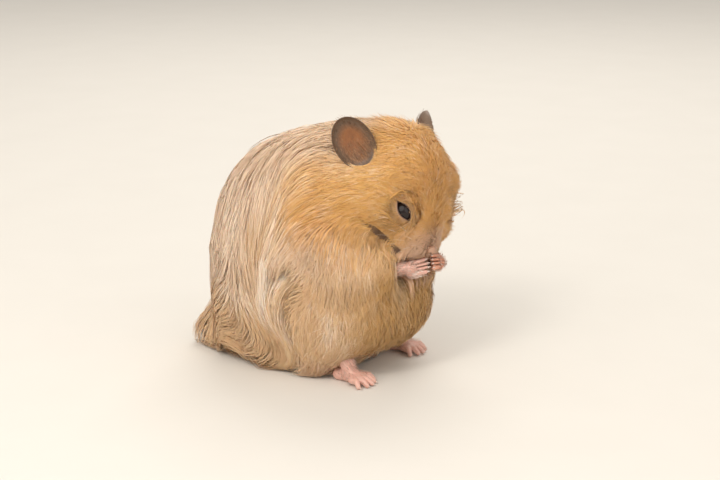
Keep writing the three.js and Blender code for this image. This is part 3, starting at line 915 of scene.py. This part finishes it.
def clear_of_bare(p):
    """1 where hair grows, 0 round the eyes, nose, mouth, ears, paws and feet."""
    q = to_head(p)
    grows = ramp(norms(p - from_head(NOSTRILS_AT)), 1.7, 2.3)
    for s in SIDES.values():
        opening, e = almond(q, s)
        shut = (e[:, 2] > 0) & (norms(e) < 7)
        grows *= np.where(shut, ramp(opening, 0.2, 0.5), 1)
        lips = [(15.2, 0, -8), (13.2, s * 2.4, -9.6), (10, s * 4.4, -10), (6.5, s * 5.6, -9.6)]
        grows *= ramp(chain(q, lips, FINE_LINE), 0.0, 0.5)
        e = in_ear(p, s)
        grows *= np.where((bowl(e) < BARE_BOWL) & (np.abs(e[:, 2]) < 8), 0, 1)
    for wrist in WRISTS.values():
        grows *= ramp(norms(p - wrist), 2.0, 5.0) * 0.8 + 0.2
    return grows * ramp(chain(p, CREASE, CREASE_RADII), 0.3, 0.8)


def face_measure(p):
    """0 at the nose and lids, 1 where the face's hair is as long as the crown's."""
    q = to_head(p)
    away = norms(q - np.array([14.5, 0, -4]))
    eyes = nearest(p, EYES.values())
    return ramp(away, 4, 34) * (0.35 + 0.65 * ramp(eyes, 4.5, 13))


SHARE = 1.0  # of the hairs
TIP_SHARE = 0.75  # of a blade's length, over which it narrows to its tip
ROOT_WIDTH = 0.55  # of a blade's, which it reaches in full half way along


def ribbons(paths, widths):
    """Flat blades along paths, each broadest past its root and ending in a point."""
    count, points, _ = paths.shape
    out = Place(paths.reshape(-1, 3)).out.reshape(paths.shape)
    tangent = unit(np.gradient(paths, axis=1))
    sideways = unit(np.cross(tangent, out))
    roll = dice.normal(0, 0.5, count)[:, None, None]
    sideways = sideways * np.cos(roll) + np.cross(sideways, tangent) * np.sin(roll)
    s = np.linspace(0, 1, points)[None, :, None]
    profile = (ROOT_WIDTH + 0.9 * s) * np.clip((1 - s) / TIP_SHARE, 0, 1) ** 0.7
    half = sideways * (widths[:, None, None] / 2 * np.minimum(profile, 1))
    rows = np.stack([(paths - half)[:, :-1], (paths + half)[:, :-1]], axis=2)
    corners = np.concatenate([rows.reshape(count, -1, 3), paths[:, -1:]], axis=1)
    per = 2 * (points - 1) + 1
    faces = []
    for a in range(0, per - 3, 2):
        faces += [(a, a + 1, a + 3), (a, a + 3, a + 2)]
    faces.append((per - 3, per - 2, per - 1))
    faces = np.array(faces)[None] + (np.arange(count) * per)[:, None, None]
    along = np.append(np.repeat(np.linspace(0, 1, points)[:-1], 2), 1)
    normals = np.concatenate([np.repeat(out[:, :-1], 2, axis=1), out[:, -1:]], axis=1)
    corners, faces, normals = (a.reshape(-1, 3) for a in (corners, faces, normals))
    return corners, faces, np.tile(along, count), normals, per


PATCH = 0.003  # of the OFBake map, across each lock's own patch


def coat_piece(name, paths, widths, uv, tone, coat="fur", slot="gold_coat", replaces=()):
    """One piece of the coat. Each blade's OFBake patch lies at its root's place on the unwrap."""
    corners, faces, along, normals, per = ribbons(paths, widths)
    roots = np.repeat(paths[:, 0], per, axis=0)
    piece = make_mesh(
        name, corners, faces, root=roots * MM, along=along, tone=np.repeat(tone, per)
    )
    low, high = uv.min(axis=0), uv.max(axis=0)
    spread = (uv - low) / (high - low) * (1 - 4 * PATCH) + 2 * PATCH
    shape = np.zeros((per, 2))
    shape[:, 0] = (np.arange(per) % 2 - 0.5) * PATCH
    shape[:, 1] = (along[:per] - 0.5) * PATCH
    per_corner = (spread[:, None] + shape[None]).reshape(-1, 2)
    layer = piece.data.uv_layers.new(name="OFBake")
    layer.data.foreach_set("uv", per_corner[faces.ravel()].astype(np.float32).ravel())
    piece.data.normals_split_custom_set_from_vertices(soft_normals(piece, normals))
    piece.data.materials.append(COATS[coat])
    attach(piece, "root")
    if replaces:
        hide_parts(*replaces)


OUTWARD_SHARE = 0.88  # of the body's way in each blade's shading normal


def soft_normals(piece, outward):
    """Shading normals part way from each blade's own to the body's, for a soft coat."""
    own = np.empty(len(piece.data.vertices) * 3, np.float32)
    piece.data.vertices.foreach_get("normal", own)
    own = own.reshape(-1, 3)
    facing = np.sign(np.einsum("ij,ij->i", own, outward))[:, None]
    return unit(own * facing * (1 - OUTWARD_SHARE) + outward * OUTWARD_SHARE)


# ---- Colours. ----


class Nodes:
    """Adds shader nodes to a tree, and wires them by what feeds them."""

    def __init__(self, tree):
        self.tree = tree

    def feed(self, socket, value):
        if isinstance(value, bpy.types.NodeSocket):
            self.tree.links.new(value, socket)
        else:
            socket.default_value = value

    def add(self, kind, inputs, output=0, **settings):
        """Adds a node, feeds its inputs, and gives one output."""
        node = self.tree.nodes.new(kind)
        for key, value in settings.items():
            setattr(node, key, value)
        for key, value in inputs.items():
            self.feed(node.inputs[key], value)
        return node.outputs[output]

    def math(self, operation, a, b):
        return self.add("ShaderNodeMath", {0: a, 1: b}, operation=operation)

    def times(self, a, b):
        return self.math("MULTIPLY", a, b)

    def rest_of(self, share):
        return self.math("SUBTRACT", 1.0, share)

    def ramp(self, value, start, end, low=0.0, high=1.0):
        if start > end:
            start, end, low, high = end, start, high, low
        inputs = dict(enumerate((value, start, end, low, high)))
        return self.add("ShaderNodeMapRange", inputs, interpolation_type="SMOOTHSTEP")

    def mix(self, share, a, b):
        return self.add("ShaderNodeMix", {0: share, 6: a, 7: b}, 2, data_type="RGBA")

    def attribute(self, name, output="Fac"):
        return self.add("ShaderNodeAttribute", {}, output, attribute_name=name)

    def noise(self, vector, scale, detail):
        inputs = {"Vector": vector, "Scale": scale, "Detail": detail}
        return self.add("ShaderNodeTexNoise", inputs, "Fac")

    def vector(self, operation, vector, by, output=0):
        inputs = {0: vector, 1: tuple(by)}
        return self.add("ShaderNodeVectorMath", inputs, output, operation=operation)

    def along(self, vector, axis, origin):
        """How far vector is past origin along axis, in millimetres."""
        past = self.vector("SUBTRACT", vector, origin * MM)
        return self.vector("DOT_PRODUCT", past, axis / MM, "Value")

    def away(self, vector, point):
        """Distance of vector from point, in millimetres."""
        return self.times(self.vector("DISTANCE", vector, point * MM, "Value"), 1 / MM)


def colour(r, g, b):
    return (r, g, b, 1.0)


GOLD = colour(0.77, 0.42, 0.125)
DEEP_GOLD = colour(0.70, 0.32, 0.085)
CREAM = colour(0.82, 0.62, 0.46)
FLANK = colour(0.74, 0.49, 0.28)
TAWNY = colour(0.62, 0.37, 0.17)
# Partly the belly's own tan, partly painted shade.
SHADED_BELLY = colour(0.50, 0.27, 0.085)
PALE_CREAM = colour(0.93, 0.78, 0.63)
TAN = colour(0.58, 0.35, 0.17)
PAINTED_SHADE_BROWN = colour(0.16, 0.08, 0.035)
PINK = colour(0.68, 0.37, 0.29)
FLESH = colour(0.70, 0.45, 0.37)
FAR_PAW_ORANGE_WITH_SHADE = colour(0.72, 0.30, 0.16)
MUZZLE = colour(0.65, 0.42, 0.32)
LID = colour(0.34, 0.19, 0.10)
X_AXIS, _, Z_AXIS = np.eye(3)
# Where the palest silky locks are rooted, how wide each is and how pale: partly their own paler
# hair, partly painted highlight where light catches them.
PALE_AND_HIGHLIT_LOCKS = [
    (drawn(-5, -25.5, 42), 8, 0.95),
    (drawn(0, -26, 36), 6, 0.9),
    (drawn(-8.5, -24.5, 50), 7, 0.9),
    (drawn(-12, 20, 84), 11, 0.5),
    (drawn(-6, -14, 85), 11, 0.5),
    (drawn(-30, -4, 66), 9, 0.35),
    (drawn(-12, 22, 46), 8, 0.8),
    (drawn(-24, 14, 66), 10, 0.4),
]
# How wide and how deep the crease's painted shade is at each of its points and half way between
# them.
CREASE_SHADE = [(1.9, 0.6), (2.2, 0.75), (2.5, 0.9), (2.9, 0.95)]
CREASE_SHADE += [(3.2, 1.0), (3.0, 0.95), (2.8, 0.85)]


def coat_colour_and_painted_light(nodes):
    """The coat's colour by where each hair is rooted, with its painted highlights and shade. Skin
    and coat share it.
    """
    mix, ramp, times = nodes.mix, nodes.ramp, nodes.times
    root = nodes.attribute("root", "Vector")
    tone, along = nodes.attribute("tone"), nodes.attribute("along")

    def spot(point, outer, inner, share):
        """share as far as inner from point, running out at outer."""
        return ramp(nodes.away(root, point), outer, inner, 0.0, share)

    broad, fine = nodes.noise(root, 55, 3), nodes.noise(root, 260, 2)
    forward = nodes.along(root, X_AXIS, drawn(0, 0, 0))
    height = nodes.along(root, Z_AXIS, np.zeros(3))
    patchy = times(nodes.math("SUBTRACT", broad, 0.5), 46)

    # Gold ahead and above, giving way to cream over the nape and back, and to tan below.
    lean = nodes.math("ADD", times(height, 0.75), forward)
    gold = times(ramp(nodes.math("ADD", lean, patchy), 42, 70), ramp(height, 34, 52))
    nape = times(ramp(height, 70, 82), ramp(forward, 30, 20, 0.0, 0.8))
    gold = times(gold, nodes.rest_of(nape))
    upper = ramp(nodes.math("ADD", height, times(patchy, 0.4)), 34, 58)
    base = mix(upper, FLANK, CREAM)
    # A tawny patch on the near flank: partly its own colour, partly painted shade.
    base = mix(spot(drawn(-14, -23, 66), 14, 6, 0.75), base, TAWNY)
    # The belly's deeper tan is partly its own colour and partly painted shade under the body.
    belly = times(ramp(forward, 18, 30), ramp(height, 46, 36))
    base = mix(times(belly, 0.85), base, SHADED_BELLY)

    # Pale locks, the listed ones partly painted highlight, then the gold, deepest on brow and
    # shoulder.
    lock = nodes.noise(nodes.vector("MULTIPLY", root, (1, 1, 0.25)), 120, 1)
    pale = ramp(lock, 0.54, 0.68, 0.0, 0.55)
    for point, radius, share in PALE_AND_HIGHLIT_LOCKS:
        pale = nodes.math("MAXIMUM", pale, spot(point, radius, radius * 0.5, share))
    base = mix(gold, mix(pale, base, PALE_CREAM), GOLD)
    brow, shoulder = from_head((-6, 8, 6)), drawn(16, -24, 58)
    deep = nodes.math("MAXIMUM", spot(brow, 26, 8, 0.62), spot(shoulder, 16, 4, 0.5))
    base = mix(times(deep, ramp(broad, 0.3, 0.6)), base, DEEP_GOLD)

    # Single hairs paler and darker than their neighbours.
    streak = nodes.math("ADD", times(fine, 0.5), times(tone, 0.5))
    base = mix(ramp(streak, 0.5, 0.8, 0.0, 0.45), base, PALE_CREAM)
    base = mix(ramp(streak, 0.45, 0.2, 0.0, 0.28), base, TAN)
    # The belly's tan with painted shade again, over the single hairs' streaks.
    base = mix(times(belly, 0.6), base, SHADED_BELLY)

    # Darker lids, pinker muzzle, legs and feet, and the painted shade in the crease.
    for side, s in SIDES.items():
        lids = EYES[side] + 3.5 * eye_axes(s)[2] @ HEAD
        base = mix(spot(lids, 4.1, 3.4, 0.6), base, LID)
    base = mix(spot(from_head((13.5, 0, -6)), 12, 5, 0.8), base, MUZZLE)
    low = times(ramp(height, 15, 5, 0.0, 0.45), ramp(forward, 4, 12))
    base = mix(low, base, FLESH)
    shade = 0.0
    for i, (radius, share) in enumerate(CREASE_SHADE):
        point = (CREASE[i // 2] + CREASE[(i + 1) // 2]) / 2
        shade = nodes.math("MAXIMUM", spot(point, radius, radius * 0.5, share), shade)
    base = mix(shade, base, PAINTED_SHADE_BROWN)

    tips = times(ramp(along, 0.4, 1.0, 0.0, 0.3), nodes.rest_of(pale))
    base = mix(tips, base, TAWNY)
    return mix(ramp(along, 0.3, 0.0, 0.0, 0.15), base, TAN)


def material(name, **settings):
    made = bpy.data.materials.new(name)
    made.use_nodes = True
    shader = made.node_tree.nodes["Principled BSDF"]
    for socket, value in settings.items():
        shader.inputs[SOCKETS[socket]].default_value = value
    return made, Nodes(made.node_tree), shader.inputs


SOCKETS = {
    "roughness": "Roughness",
    "specular": "Specular IOR Level",
    "sheen": "Sheen Weight",
    "sheen_roughness": "Sheen Roughness",
    "subsurface": "Subsurface Weight",
    "subsurface_radius": "Subsurface Radius",
}


def coat_material():
    made, nodes, shader = material(
        "coat", roughness=0.5, specular=0.2, sheen=0.05, sheen_roughness=0.5,
        subsurface=0.3, subsurface_radius=(0.003, 0.0018, 0.001),
    )
    nodes.feed(shader["Base Color"], coat_colour_and_painted_light(nodes))
    return made


def skin_material():
    made, nodes, shader = material(
        "skin", roughness=0.5, subsurface=0.12, subsurface_radius=(0.003, 0.0012, 0.0008)
    )
    mix, noise, of = nodes.mix, nodes.noise, nodes.attribute
    place = of("root", "Vector")
    base = coat_colour_and_painted_light(nodes)
    mottled = mix(noise(place, 700, 4), PINK, FLESH)
    mottled = mix(nodes.ramp(noise(place, 160, 2), 0.45, 0.7, 0, 0.4), mottled, PINK)
    # The far forepaw's deeper orange, partly painted shade.
    mottled = mix(nodes.times(of("flush"), 0.7), mottled, FAR_PAW_ORANGE_WITH_SHADE)
    base = mix(of("bare"), base, mottled)
    base = mix(nodes.times(of("pale"), 0.75), base, LID)
    inner = mix(noise(place, 320, 3), colour(0.38, 0.14, 0.035), colour(0.14, 0.05, 0.02))
    rim = mix(noise(place, 500, 3), colour(0.12, 0.075, 0.045), colour(0.20, 0.125, 0.08))
    base = mix(of("ear"), base, mix(of("ear_rim"), inner, rim))
    # Painted shade: dark darkens the skin at the lids' edges, mouth, nostrils, finger gaps and
    # crease.
    base = mix(of("dark"), base, colour(0.045, 0.022, 0.018))
    nodes.feed(shader["Base Color"], base)
    grain = {"Strength": 0.35, "Distance": 0.0003, "Height": noise(place, 2400, 5)}
    nodes.feed(shader["Normal"], nodes.add("ShaderNodeBump", grain, "Normal"))
    return made


def plain_material(name, noise_scale, first, second, **settings):
    """One colour running into another with noise, in the object's own place."""
    made, nodes, shader = material(name, **settings)
    place = nodes.add("ShaderNodeTexCoord", {}, "Object")
    nodes.feed(shader["Base Color"], nodes.mix(nodes.noise(place, noise_scale, 3), first, second))
    return made


def hair_material(name, dark, light):
    """Hair of one kind all over, paler toward its tips, from dark to light by each hair's tone."""
    made, nodes, shader = material(name, roughness=0.6)
    mottled = nodes.times(nodes.noise(nodes.attribute("root", "Vector"), 900, 2), 0.6)
    share = nodes.math("ADD", nodes.times(nodes.attribute("tone"), 0.6), mottled)
    base = nodes.mix(nodes.ramp(share, 0.3, 0.9), dark, light)
    base = nodes.mix(nodes.ramp(nodes.attribute("along"), 0.2, 1.0, 0.0, 0.25), base, light)
    nodes.feed(shader["Base Color"], base)
    return made


COATS = {
    "fur": coat_material(),
    "ear": hair_material("ear_hair", colour(0.10, 0.05, 0.025), colour(0.42, 0.21, 0.095)),
    "pink": hair_material("paw_hair", colour(0.78, 0.56, 0.46), colour(0.93, 0.80, 0.71)),
    "pale": hair_material("whisker", colour(0.70, 0.58, 0.46), colour(0.90, 0.84, 0.76)),
}
skin_piece.data.materials.append(skin_material())
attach(skin_piece, "root")
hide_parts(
    *FURRED, "nose", "tail",
    *(f"{part}_{side}" for part in ("ear", "forepaw", "hind_foot") for side in SIDES),
)

claw_horn = plain_material(
    "claw_horn", 1500, colour(0.80, 0.66, 0.58), colour(0.62, 0.44, 0.38), roughness=0.35
)
for name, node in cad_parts.items():
    if name.startswith("claw_"):
        node.data.materials.clear()
        node.data.materials.append(claw_horn)


def eyeball(side):
    """A finely divided ball in the place of the solid's."""
    rings, turns = 24, 40
    polar, around = np.meshgrid(
        np.linspace(0, math.pi, rings + 1)[1:-1], np.arange(turns) * math.tau / turns, indexing="ij"
    )
    x, y, z = np.sin(polar) * np.cos(around), np.sin(polar) * np.sin(around), np.cos(polar)
    ring = np.stack([x, y, z], axis=-1)
    corners = np.vstack([ring.reshape(-1, 3), [(0, 0, 1), (0, 0, -1)]])
    faces = []
    top, bottom = len(corners) - 2, len(corners) - 1
    for j in range(turns):
        k = (j + 1) % turns
        faces.append((top, j, k))
        for i in range(rings - 2):
            a, b = i * turns + j, i * turns + k
            faces += [(a, a + turns, b + turns), (a, b + turns, b)]
        last = (rings - 2) * turns
        faces.append((last + j, bottom, last + k))
    piece = make_mesh(f"eyeball_{side}", corners * EYE_RADIUS + EYES[side], np.array(faces))
    piece.data.materials.append(EYE)
    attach(piece, "root")
    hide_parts(f"eye_{side}")


EYE = plain_material(
    "eye_black", 900, colour(0.004, 0.003, 0.003), colour(0.022, 0.011, 0.008),
    roughness=0.05, specular=0.35,
)
for side in SIDES:
    eyeball(side)

# ---- The coat itself. ----

# How many hairs each kind has.
FACE_HAIRS, CROWN_HAIRS, SHORT_HAIRS, LONG_HAIRS = 38000, 28000, 44000, 60000
EAR_HAIRS, PAW_HAIRS, FOOT_HAIRS = 2600, 3400, 2200


def furred(p, part):
    """How thickly each kind of hair grows at p."""
    place = Place(p)
    head = ramp(place.head, 1.0, -1.0) * ramp(to_head(p)[:, 0], -34, -26)
    arm = ramp(place.arm, 1.0, -1.0) * (1 - head)
    thigh = ramp(place.thigh, 1.0, -1.0)
    breast = ramp(ahead_of_middle(p), 20, 27) * (1 - head) * (1 - arm)
    short = np.clip(arm + thigh + breast, 0, 1)
    shares = {"head": head, "short": short * (1 - head), "long": (1 - short) * (1 - head)}
    return shares[part] * clear_of_bare(p)


def head_coat(count, steps, density):
    """Short hair on the face, longer over the crown, cheeks and ruff."""
    roots, uv, _ = scatter(int(count * SHARE), lambda p: furred(p, "head") * density(p))
    count = len(roots)
    m = face_measure(roots)
    q = to_head(roots)
    crown = ramp(q[:, 0], -14, -24) * ramp(q[:, 2], -4, 6)
    ruff = ramp(q[:, 1], 8, 15) * ramp(q[:, 0], 8, 0)
    eyes = nearest(roots, EYES.values())
    deep = Place(roots).depth
    lengths = np.maximum(1.5 + 9 * m**1.3 + 3 * ruff, (1.3 + 1.1 * ramp(eyes, 5, 8)) * deep)
    lengths = lengths * dice.uniform(0.7, 1.25, count)
    heights = 1 - dice.random(count) ** 1.5 * (0.65 - 0.25 * ramp(deep, 2, 5))
    steep = 1.1 + 1.4 * ramp(deep, 3.5, 7)
    fluff = dice.random(count) < 0.12 + 0.3 * np.maximum(crown, ruff)
    lift = fluff * dice.uniform(0.3, 1.0, count) * (0.35 + 1.2 * m + 1.8 * crown + 1.2 * ruff)
    lift = lift * ramp(eyes, 7, 13) + 0.45 * ramp(eyes, 8, 5)
    stray = 0.22 - 0.14 * ramp(deep, 3, 6)
    paths = grow(roots, lengths, heights, steps, stray, lift, steep)
    paths, leader = gather(paths, 0.14, 0.28)
    widths = (0.17 + 0.07 * m) * dice.uniform(0.7, 1.4, count)
    return trimmed(paths, np.full(count, -1.0)), widths, uv, leader, roots


def short_coat():
    """The hair of breast, belly, arms and thighs."""
    count = int(SHORT_HAIRS * SHARE)
    roots, uv, _ = scatter(count, lambda p: furred(p, "short"))
    px = ahead_of_middle(roots)
    low = ramp(roots[:, 2], 22, 4)
    breast = ramp(px, 18, 26)
    near_wrist = nearest(roots, WRISTS.values())
    hem = ramp(roots[:, 2], 15, 8) * ramp(px, 16, 12)
    lengths = 9 - 5.5 * low * ramp(px, 14, 22) + 3 * breast * (1 - low) + 3 * hem
    lengths = lengths * (0.25 + 0.75 * ramp(near_wrist, 3, 16))
    lengths = lengths * dice.uniform(0.7, 1.25, count)
    heights = dice.uniform(0.4, 1.0, count)
    lift = (dice.random(count) < 0.15) * dice.uniform(0, 1.3, count) + 2.5 * hem
    paths = grow(roots, lengths, heights, 4, 0.35, lift)
    paths, leader = gather(paths, 0.1, 0.25)
    widths = 0.24 * dice.uniform(0.6, 1.4, count) * (0.6 + 0.4 * lengths / 9)
    return trimmed(paths, dice.uniform(0.2, 1.0, count)), widths, uv, leader, roots


def long_coat():
    """The mane of nape, back and flanks, and the skirts' locks."""
    count = int(LONG_HAIRS * SHARE)
    roots, uv, _ = scatter(count, lambda p: furred(p, "long"))
    px, pz = ahead_of_middle(roots), roots[:, 2]
    lengths = 19 + 17 * ramp(px, 12, -18) - 5 * ramp(pz, 16, 4)
    lengths = lengths * dice.uniform(0.6, 1.25, count)
    heights = 1 - dice.random(count) ** 2 * 0.75
    lift = (dice.random(count) < 0.08) * dice.uniform(0, 1.6, count) * ramp(pz, 20, 50)
    over = np.zeros(count)
    for point, radius, share in PALE_AND_HIGHLIT_LOCKS:
        in_lock = share * ramp(norms(roots - point), radius, radius * 0.5)
        over = np.maximum(over, in_lock)
    heights = np.maximum(heights, over)
    paths = grow(roots, lengths, heights, 7, 0.08, lift + 0.9 * over)
    paths, _ = gather(paths, 0.1, 0.2, 1.6)
    paths, leader = gather(paths, 0.012, 0.45, 2.0)
    widths = 0.26 * dice.uniform(0.5, 1.5, count)
    return trimmed(paths, dice.random(count) ** 2 * 3 + 0.25), widths, uv, leader, roots


def surface_of(*kinds):
    """The skin's shells of these kinds, with an unwrap of their own shape."""
    triangles = skin_triangles[np.isin(skin_kind[skin_triangles[:, 0]], kinds)]
    used, local = np.unique(triangles, return_inverse=True)
    local = local.reshape(-1, 3)
    return skin_corners[used], local, unwrap(skin_corners[used], local)


def down(kind, count, length, width, way, density):
    """Short hair on an ear, paw or foot: it leaves the skin and lies along way."""
    surface = surface_of(kind)
    facing = unit(triangle_normals(*surface[:2]))
    roots, uv, picked = scatter(int(count * SHARE), lambda p: density(p, facing), surface)
    count = len(roots)
    out = facing[picked]
    lie = unit(square_to(out, way(roots) + dice.normal(0, 0.25, (count, 3))))
    reach = (length * dice.uniform(0.6, 1.3, count))[:, None]
    bend, tip = roots + (lie * 0.4 + out * 0.3) * reach, roots + (lie * 0.9 + out * 0.42) * reach
    paths = np.stack([roots - out * 0.1, bend, tip], axis=1)
    paths[:, :, 2] = np.maximum(paths[:, :, 2], FLOOR_CLEAR)
    widths = width * dice.uniform(0.7, 1.3, count)
    return paths, widths, uv, np.arange(count), roots


def by_side(p, value):
    """value(1) for the points on the left, value(-1) for the others."""
    return np.where(left_of_middle(p)[:, None] > 0, value(1), value(-1))


def ear_down():
    """Fine hair in and on the ears, thickest toward the front of the bowl's base."""

    def way(p):
        return by_side(p, lambda s: ear_axes(s)[0])

    def density(p, facing):
        e = by_side(p, lambda s: in_ear(p, s))
        inside = ramp(np.sqrt(bowl(e)), 0.9, 0.7)
        return 0.12 + inside * (0.3 + 2.5 * ramp(e[:, 0], 1, -7))

    return down(EAR, EAR_HAIRS, 1.7, 0.12, way, density)


def paw_down():
    def reach(s):
        side = "left" if s > 0 else "right"
        return unit(FINGERTIPS[side] - PALMS[side])

    def way(p):
        return by_side(p, reach)

    def density(p, facing):
        return 0.1 + ramp(nearest(p, FINGERTIPS.values()), 3, 6.5)

    return down(PAW, PAW_HAIRS, 1.7, 0.2, way, density)


def foot_down():
    def way(p):
        return np.tile([1.0, 0, -0.4], (len(p), 1))

    def density(p, facing):
        return ramp(facing[:, 2], -0.3, 0.3) * (0.08 + ramp(ahead_of_middle(p), 26, 20))

    return down(FOOT, FOOT_HAIRS, 1.9, 0.15, way, density)


def whiskers():
    """Long stiff hairs, three in each of four rows on each side of the muzzle."""
    roots, tips = [], []
    for s in SIDES.values():
        for row in range(4):
            for place in range(3):
                root = np.array([12.6 - 1.5 * place, s * (3.9 + 0.75 * place), -4.2 - 1.0 * row])
                way = unit(np.array([-0.25 - 0.2 * place, s, 0.45 - 0.35 * row]))
                roots.append(from_head(root))
                tips.append(from_head(root + way * (9 + 2.5 * place)))
    roots, tips = np.array(roots), np.array(tips)
    share = np.linspace(0, 1, 6)[None, :, None]
    paths = roots[:, None] + (tips - roots)[:, None] * share
    paths[:, :, 2] -= 2.2 * share[..., 0] ** 2
    _, uv, _ = scatter(len(roots), lambda p: furred(p, "head"))
    return paths, np.full(len(roots), 0.14), uv, np.arange(len(roots)), roots


LOCK_SHARE = 0.45  # of a hair's shade is its lock's


def with_tone(made):
    """The hairs with each one's own shade, partly shared by its lock, and their roots."""
    paths, widths, uv, leader, roots = made
    lock = dice.random(len(leader))[leader]
    own = dice.random(len(leader))
    tone = np.clip(LOCK_SHARE * lock + (1 - LOCK_SHARE) * own, 0, 1)
    return (paths, widths, uv, tone), roots


def shed(name, hairs, chosen=slice(None), **rest):
    """Makes the chosen hairs one piece."""
    coat_piece(name, *(part[chosen] for part in hairs), **rest)


FACE_END = -6  # along the head: short face hair ahead of this, the crown's and cheeks' behind


def ahead(p):
    return ramp(to_head(p)[:, 0], FACE_END - 2, FACE_END + 2)


hairs, _ = with_tone(head_coat(FACE_HAIRS, 3, ahead))
shed("coat_face", hairs)
hairs, _ = with_tone(head_coat(CROWN_HAIRS, 4, lambda p: 1 - ahead(p)))
shed("coat_crown_and_cheeks", hairs)
for name, made, coat in (
    ("fuzz_on_ears", ear_down(), "ear"),
    ("fuzz_on_paws", paw_down(), "pink"),
    ("fuzz_on_feet", foot_down(), "pink"),
    ("whiskers", whiskers(), "pale"),
):
    hairs, _ = with_tone(made)
    shed(name, hairs, coat=coat)

hairs, roots = with_tone(short_coat())
left = left_of_middle(roots) > 0
shed("coat_underside_right", hairs, ~left, slot="cream_coat")
shed("coat_underside_left", hairs, left, slot="cream_coat")

hairs, roots = with_tone(long_coat())
px, pz = ahead_of_middle(roots), roots[:, 2]
left = left_of_middle(roots) > 0
low = pz < 44
rear = px < -24
nape = px > -2
shed("coat_nape", hairs, ~low & nape)
shed("coat_back_right", hairs, ~low & ~nape & ~left, slot="cream_coat")
shed("coat_back_left", hairs, ~low & ~nape & left, slot="cream_coat")
shed("locks_rear", hairs, low & rear, slot="cream_coat", replaces=["coat_skirt_rear"])
shed("locks_right", hairs, low & ~rear & ~left, slot="cream_coat", replaces=["coat_skirt_right"])
shed("locks_left", hairs, low & ~rear & left, slot="cream_coat", replaces=["coat_skirt_left"])

# ---- Floor, light and camera. ----


def floor():
    edge = 3000
    square = [(-edge, -edge, 0), (edge, -edge, 0), (edge, edge, 0), (-edge, edge, 0)]
    piece = make_mesh("floor", np.array(square, float), np.array([(0, 1, 2, 3)]))
    piece.data.materials.append(plain_material(
        "floor", 30, colour(0.70, 0.66, 0.60), colour(0.73, 0.69, 0.63), roughness=0.9
    ))


def toward(azimuth, elevation):
    """The way out at these degrees round from the row's -Y, toward +X, and up from level."""
    a, e = math.radians(azimuth), math.radians(elevation)
    return Vector((math.sin(a) * math.cos(e), -math.cos(a) * math.cos(e), math.sin(e)))


LIT = Vector((0, 0, 0.04))  # what the lamps look at, in metres


def lamp(name, azimuth, elevation, distance, size, power, tint):
    light = bpy.data.lights.new(name, "AREA")
    light.energy, light.size, light.color = power, size, tint
    light.shape = "DISK"
    piece = bpy.data.objects.new(name, light)
    bpy.context.scene.collection.objects.link(piece)
    way = toward(azimuth, elevation)
    piece.location = way * distance + LIT
    piece.rotation_euler = way.to_track_quat("Z", "Y").to_euler()


def surroundings(strength):
    world = bpy.data.worlds.new("world")
    world.use_nodes = True
    background = world.node_tree.nodes["Background"]
    background.inputs["Color"].default_value = (0.93, 0.90, 0.86, 1)
    background.inputs["Strength"].default_value = strength
    bpy.context.scene.world = world


CAMERA_AZIMUTH, CAMERA_ELEVATION = 29, 15
CAMERA_DISTANCE = 600
LENS, SENSOR = 84, 36
FRAME_WIDTH, FRAME_HEIGHT = 720, 480
AIM = drawn(0, 0, 42)
AIM_PIXEL = (330, 246)


def camera():
    made = bpy.data.cameras.new("camera")
    made.lens, made.sensor_width = LENS, SENSOR
    made.clip_start, made.clip_end = 0.01, 20
    made.shift_x = (FRAME_WIDTH / 2 - AIM_PIXEL[0]) / FRAME_WIDTH
    made.shift_y = (AIM_PIXEL[1] - FRAME_HEIGHT / 2) / FRAME_WIDTH
    piece = bpy.data.objects.new("camera", made)
    bpy.context.scene.collection.objects.link(piece)
    way = toward(CAMERA_AZIMUTH, CAMERA_ELEVATION)
    piece.location = Vector(AIM * MM) + way * CAMERA_DISTANCE * MM
    piece.rotation_euler = way.to_track_quat("Z", "Y").to_euler()
    bpy.context.scene.camera = piece


floor()
surroundings(0.72)
# Degrees round and up, metres off and across, watts, tint.
lamp("key", 0, 41, 0.9, 0.9, 3.0, (1.0, 0.97, 0.92))
lamp("key_heart", 0, 41, 0.9, 0.25, 2.5, (1.0, 0.97, 0.92))
lamp("fill", 70, 25, 1.0, 1.1, 2.4, (1.0, 0.98, 0.95))
lamp("rim", 200, 50, 1.0, 0.7, 4.0, (1.0, 0.98, 0.94))
camera()
bpy.context.scene.view_settings.view_transform = "Standard"
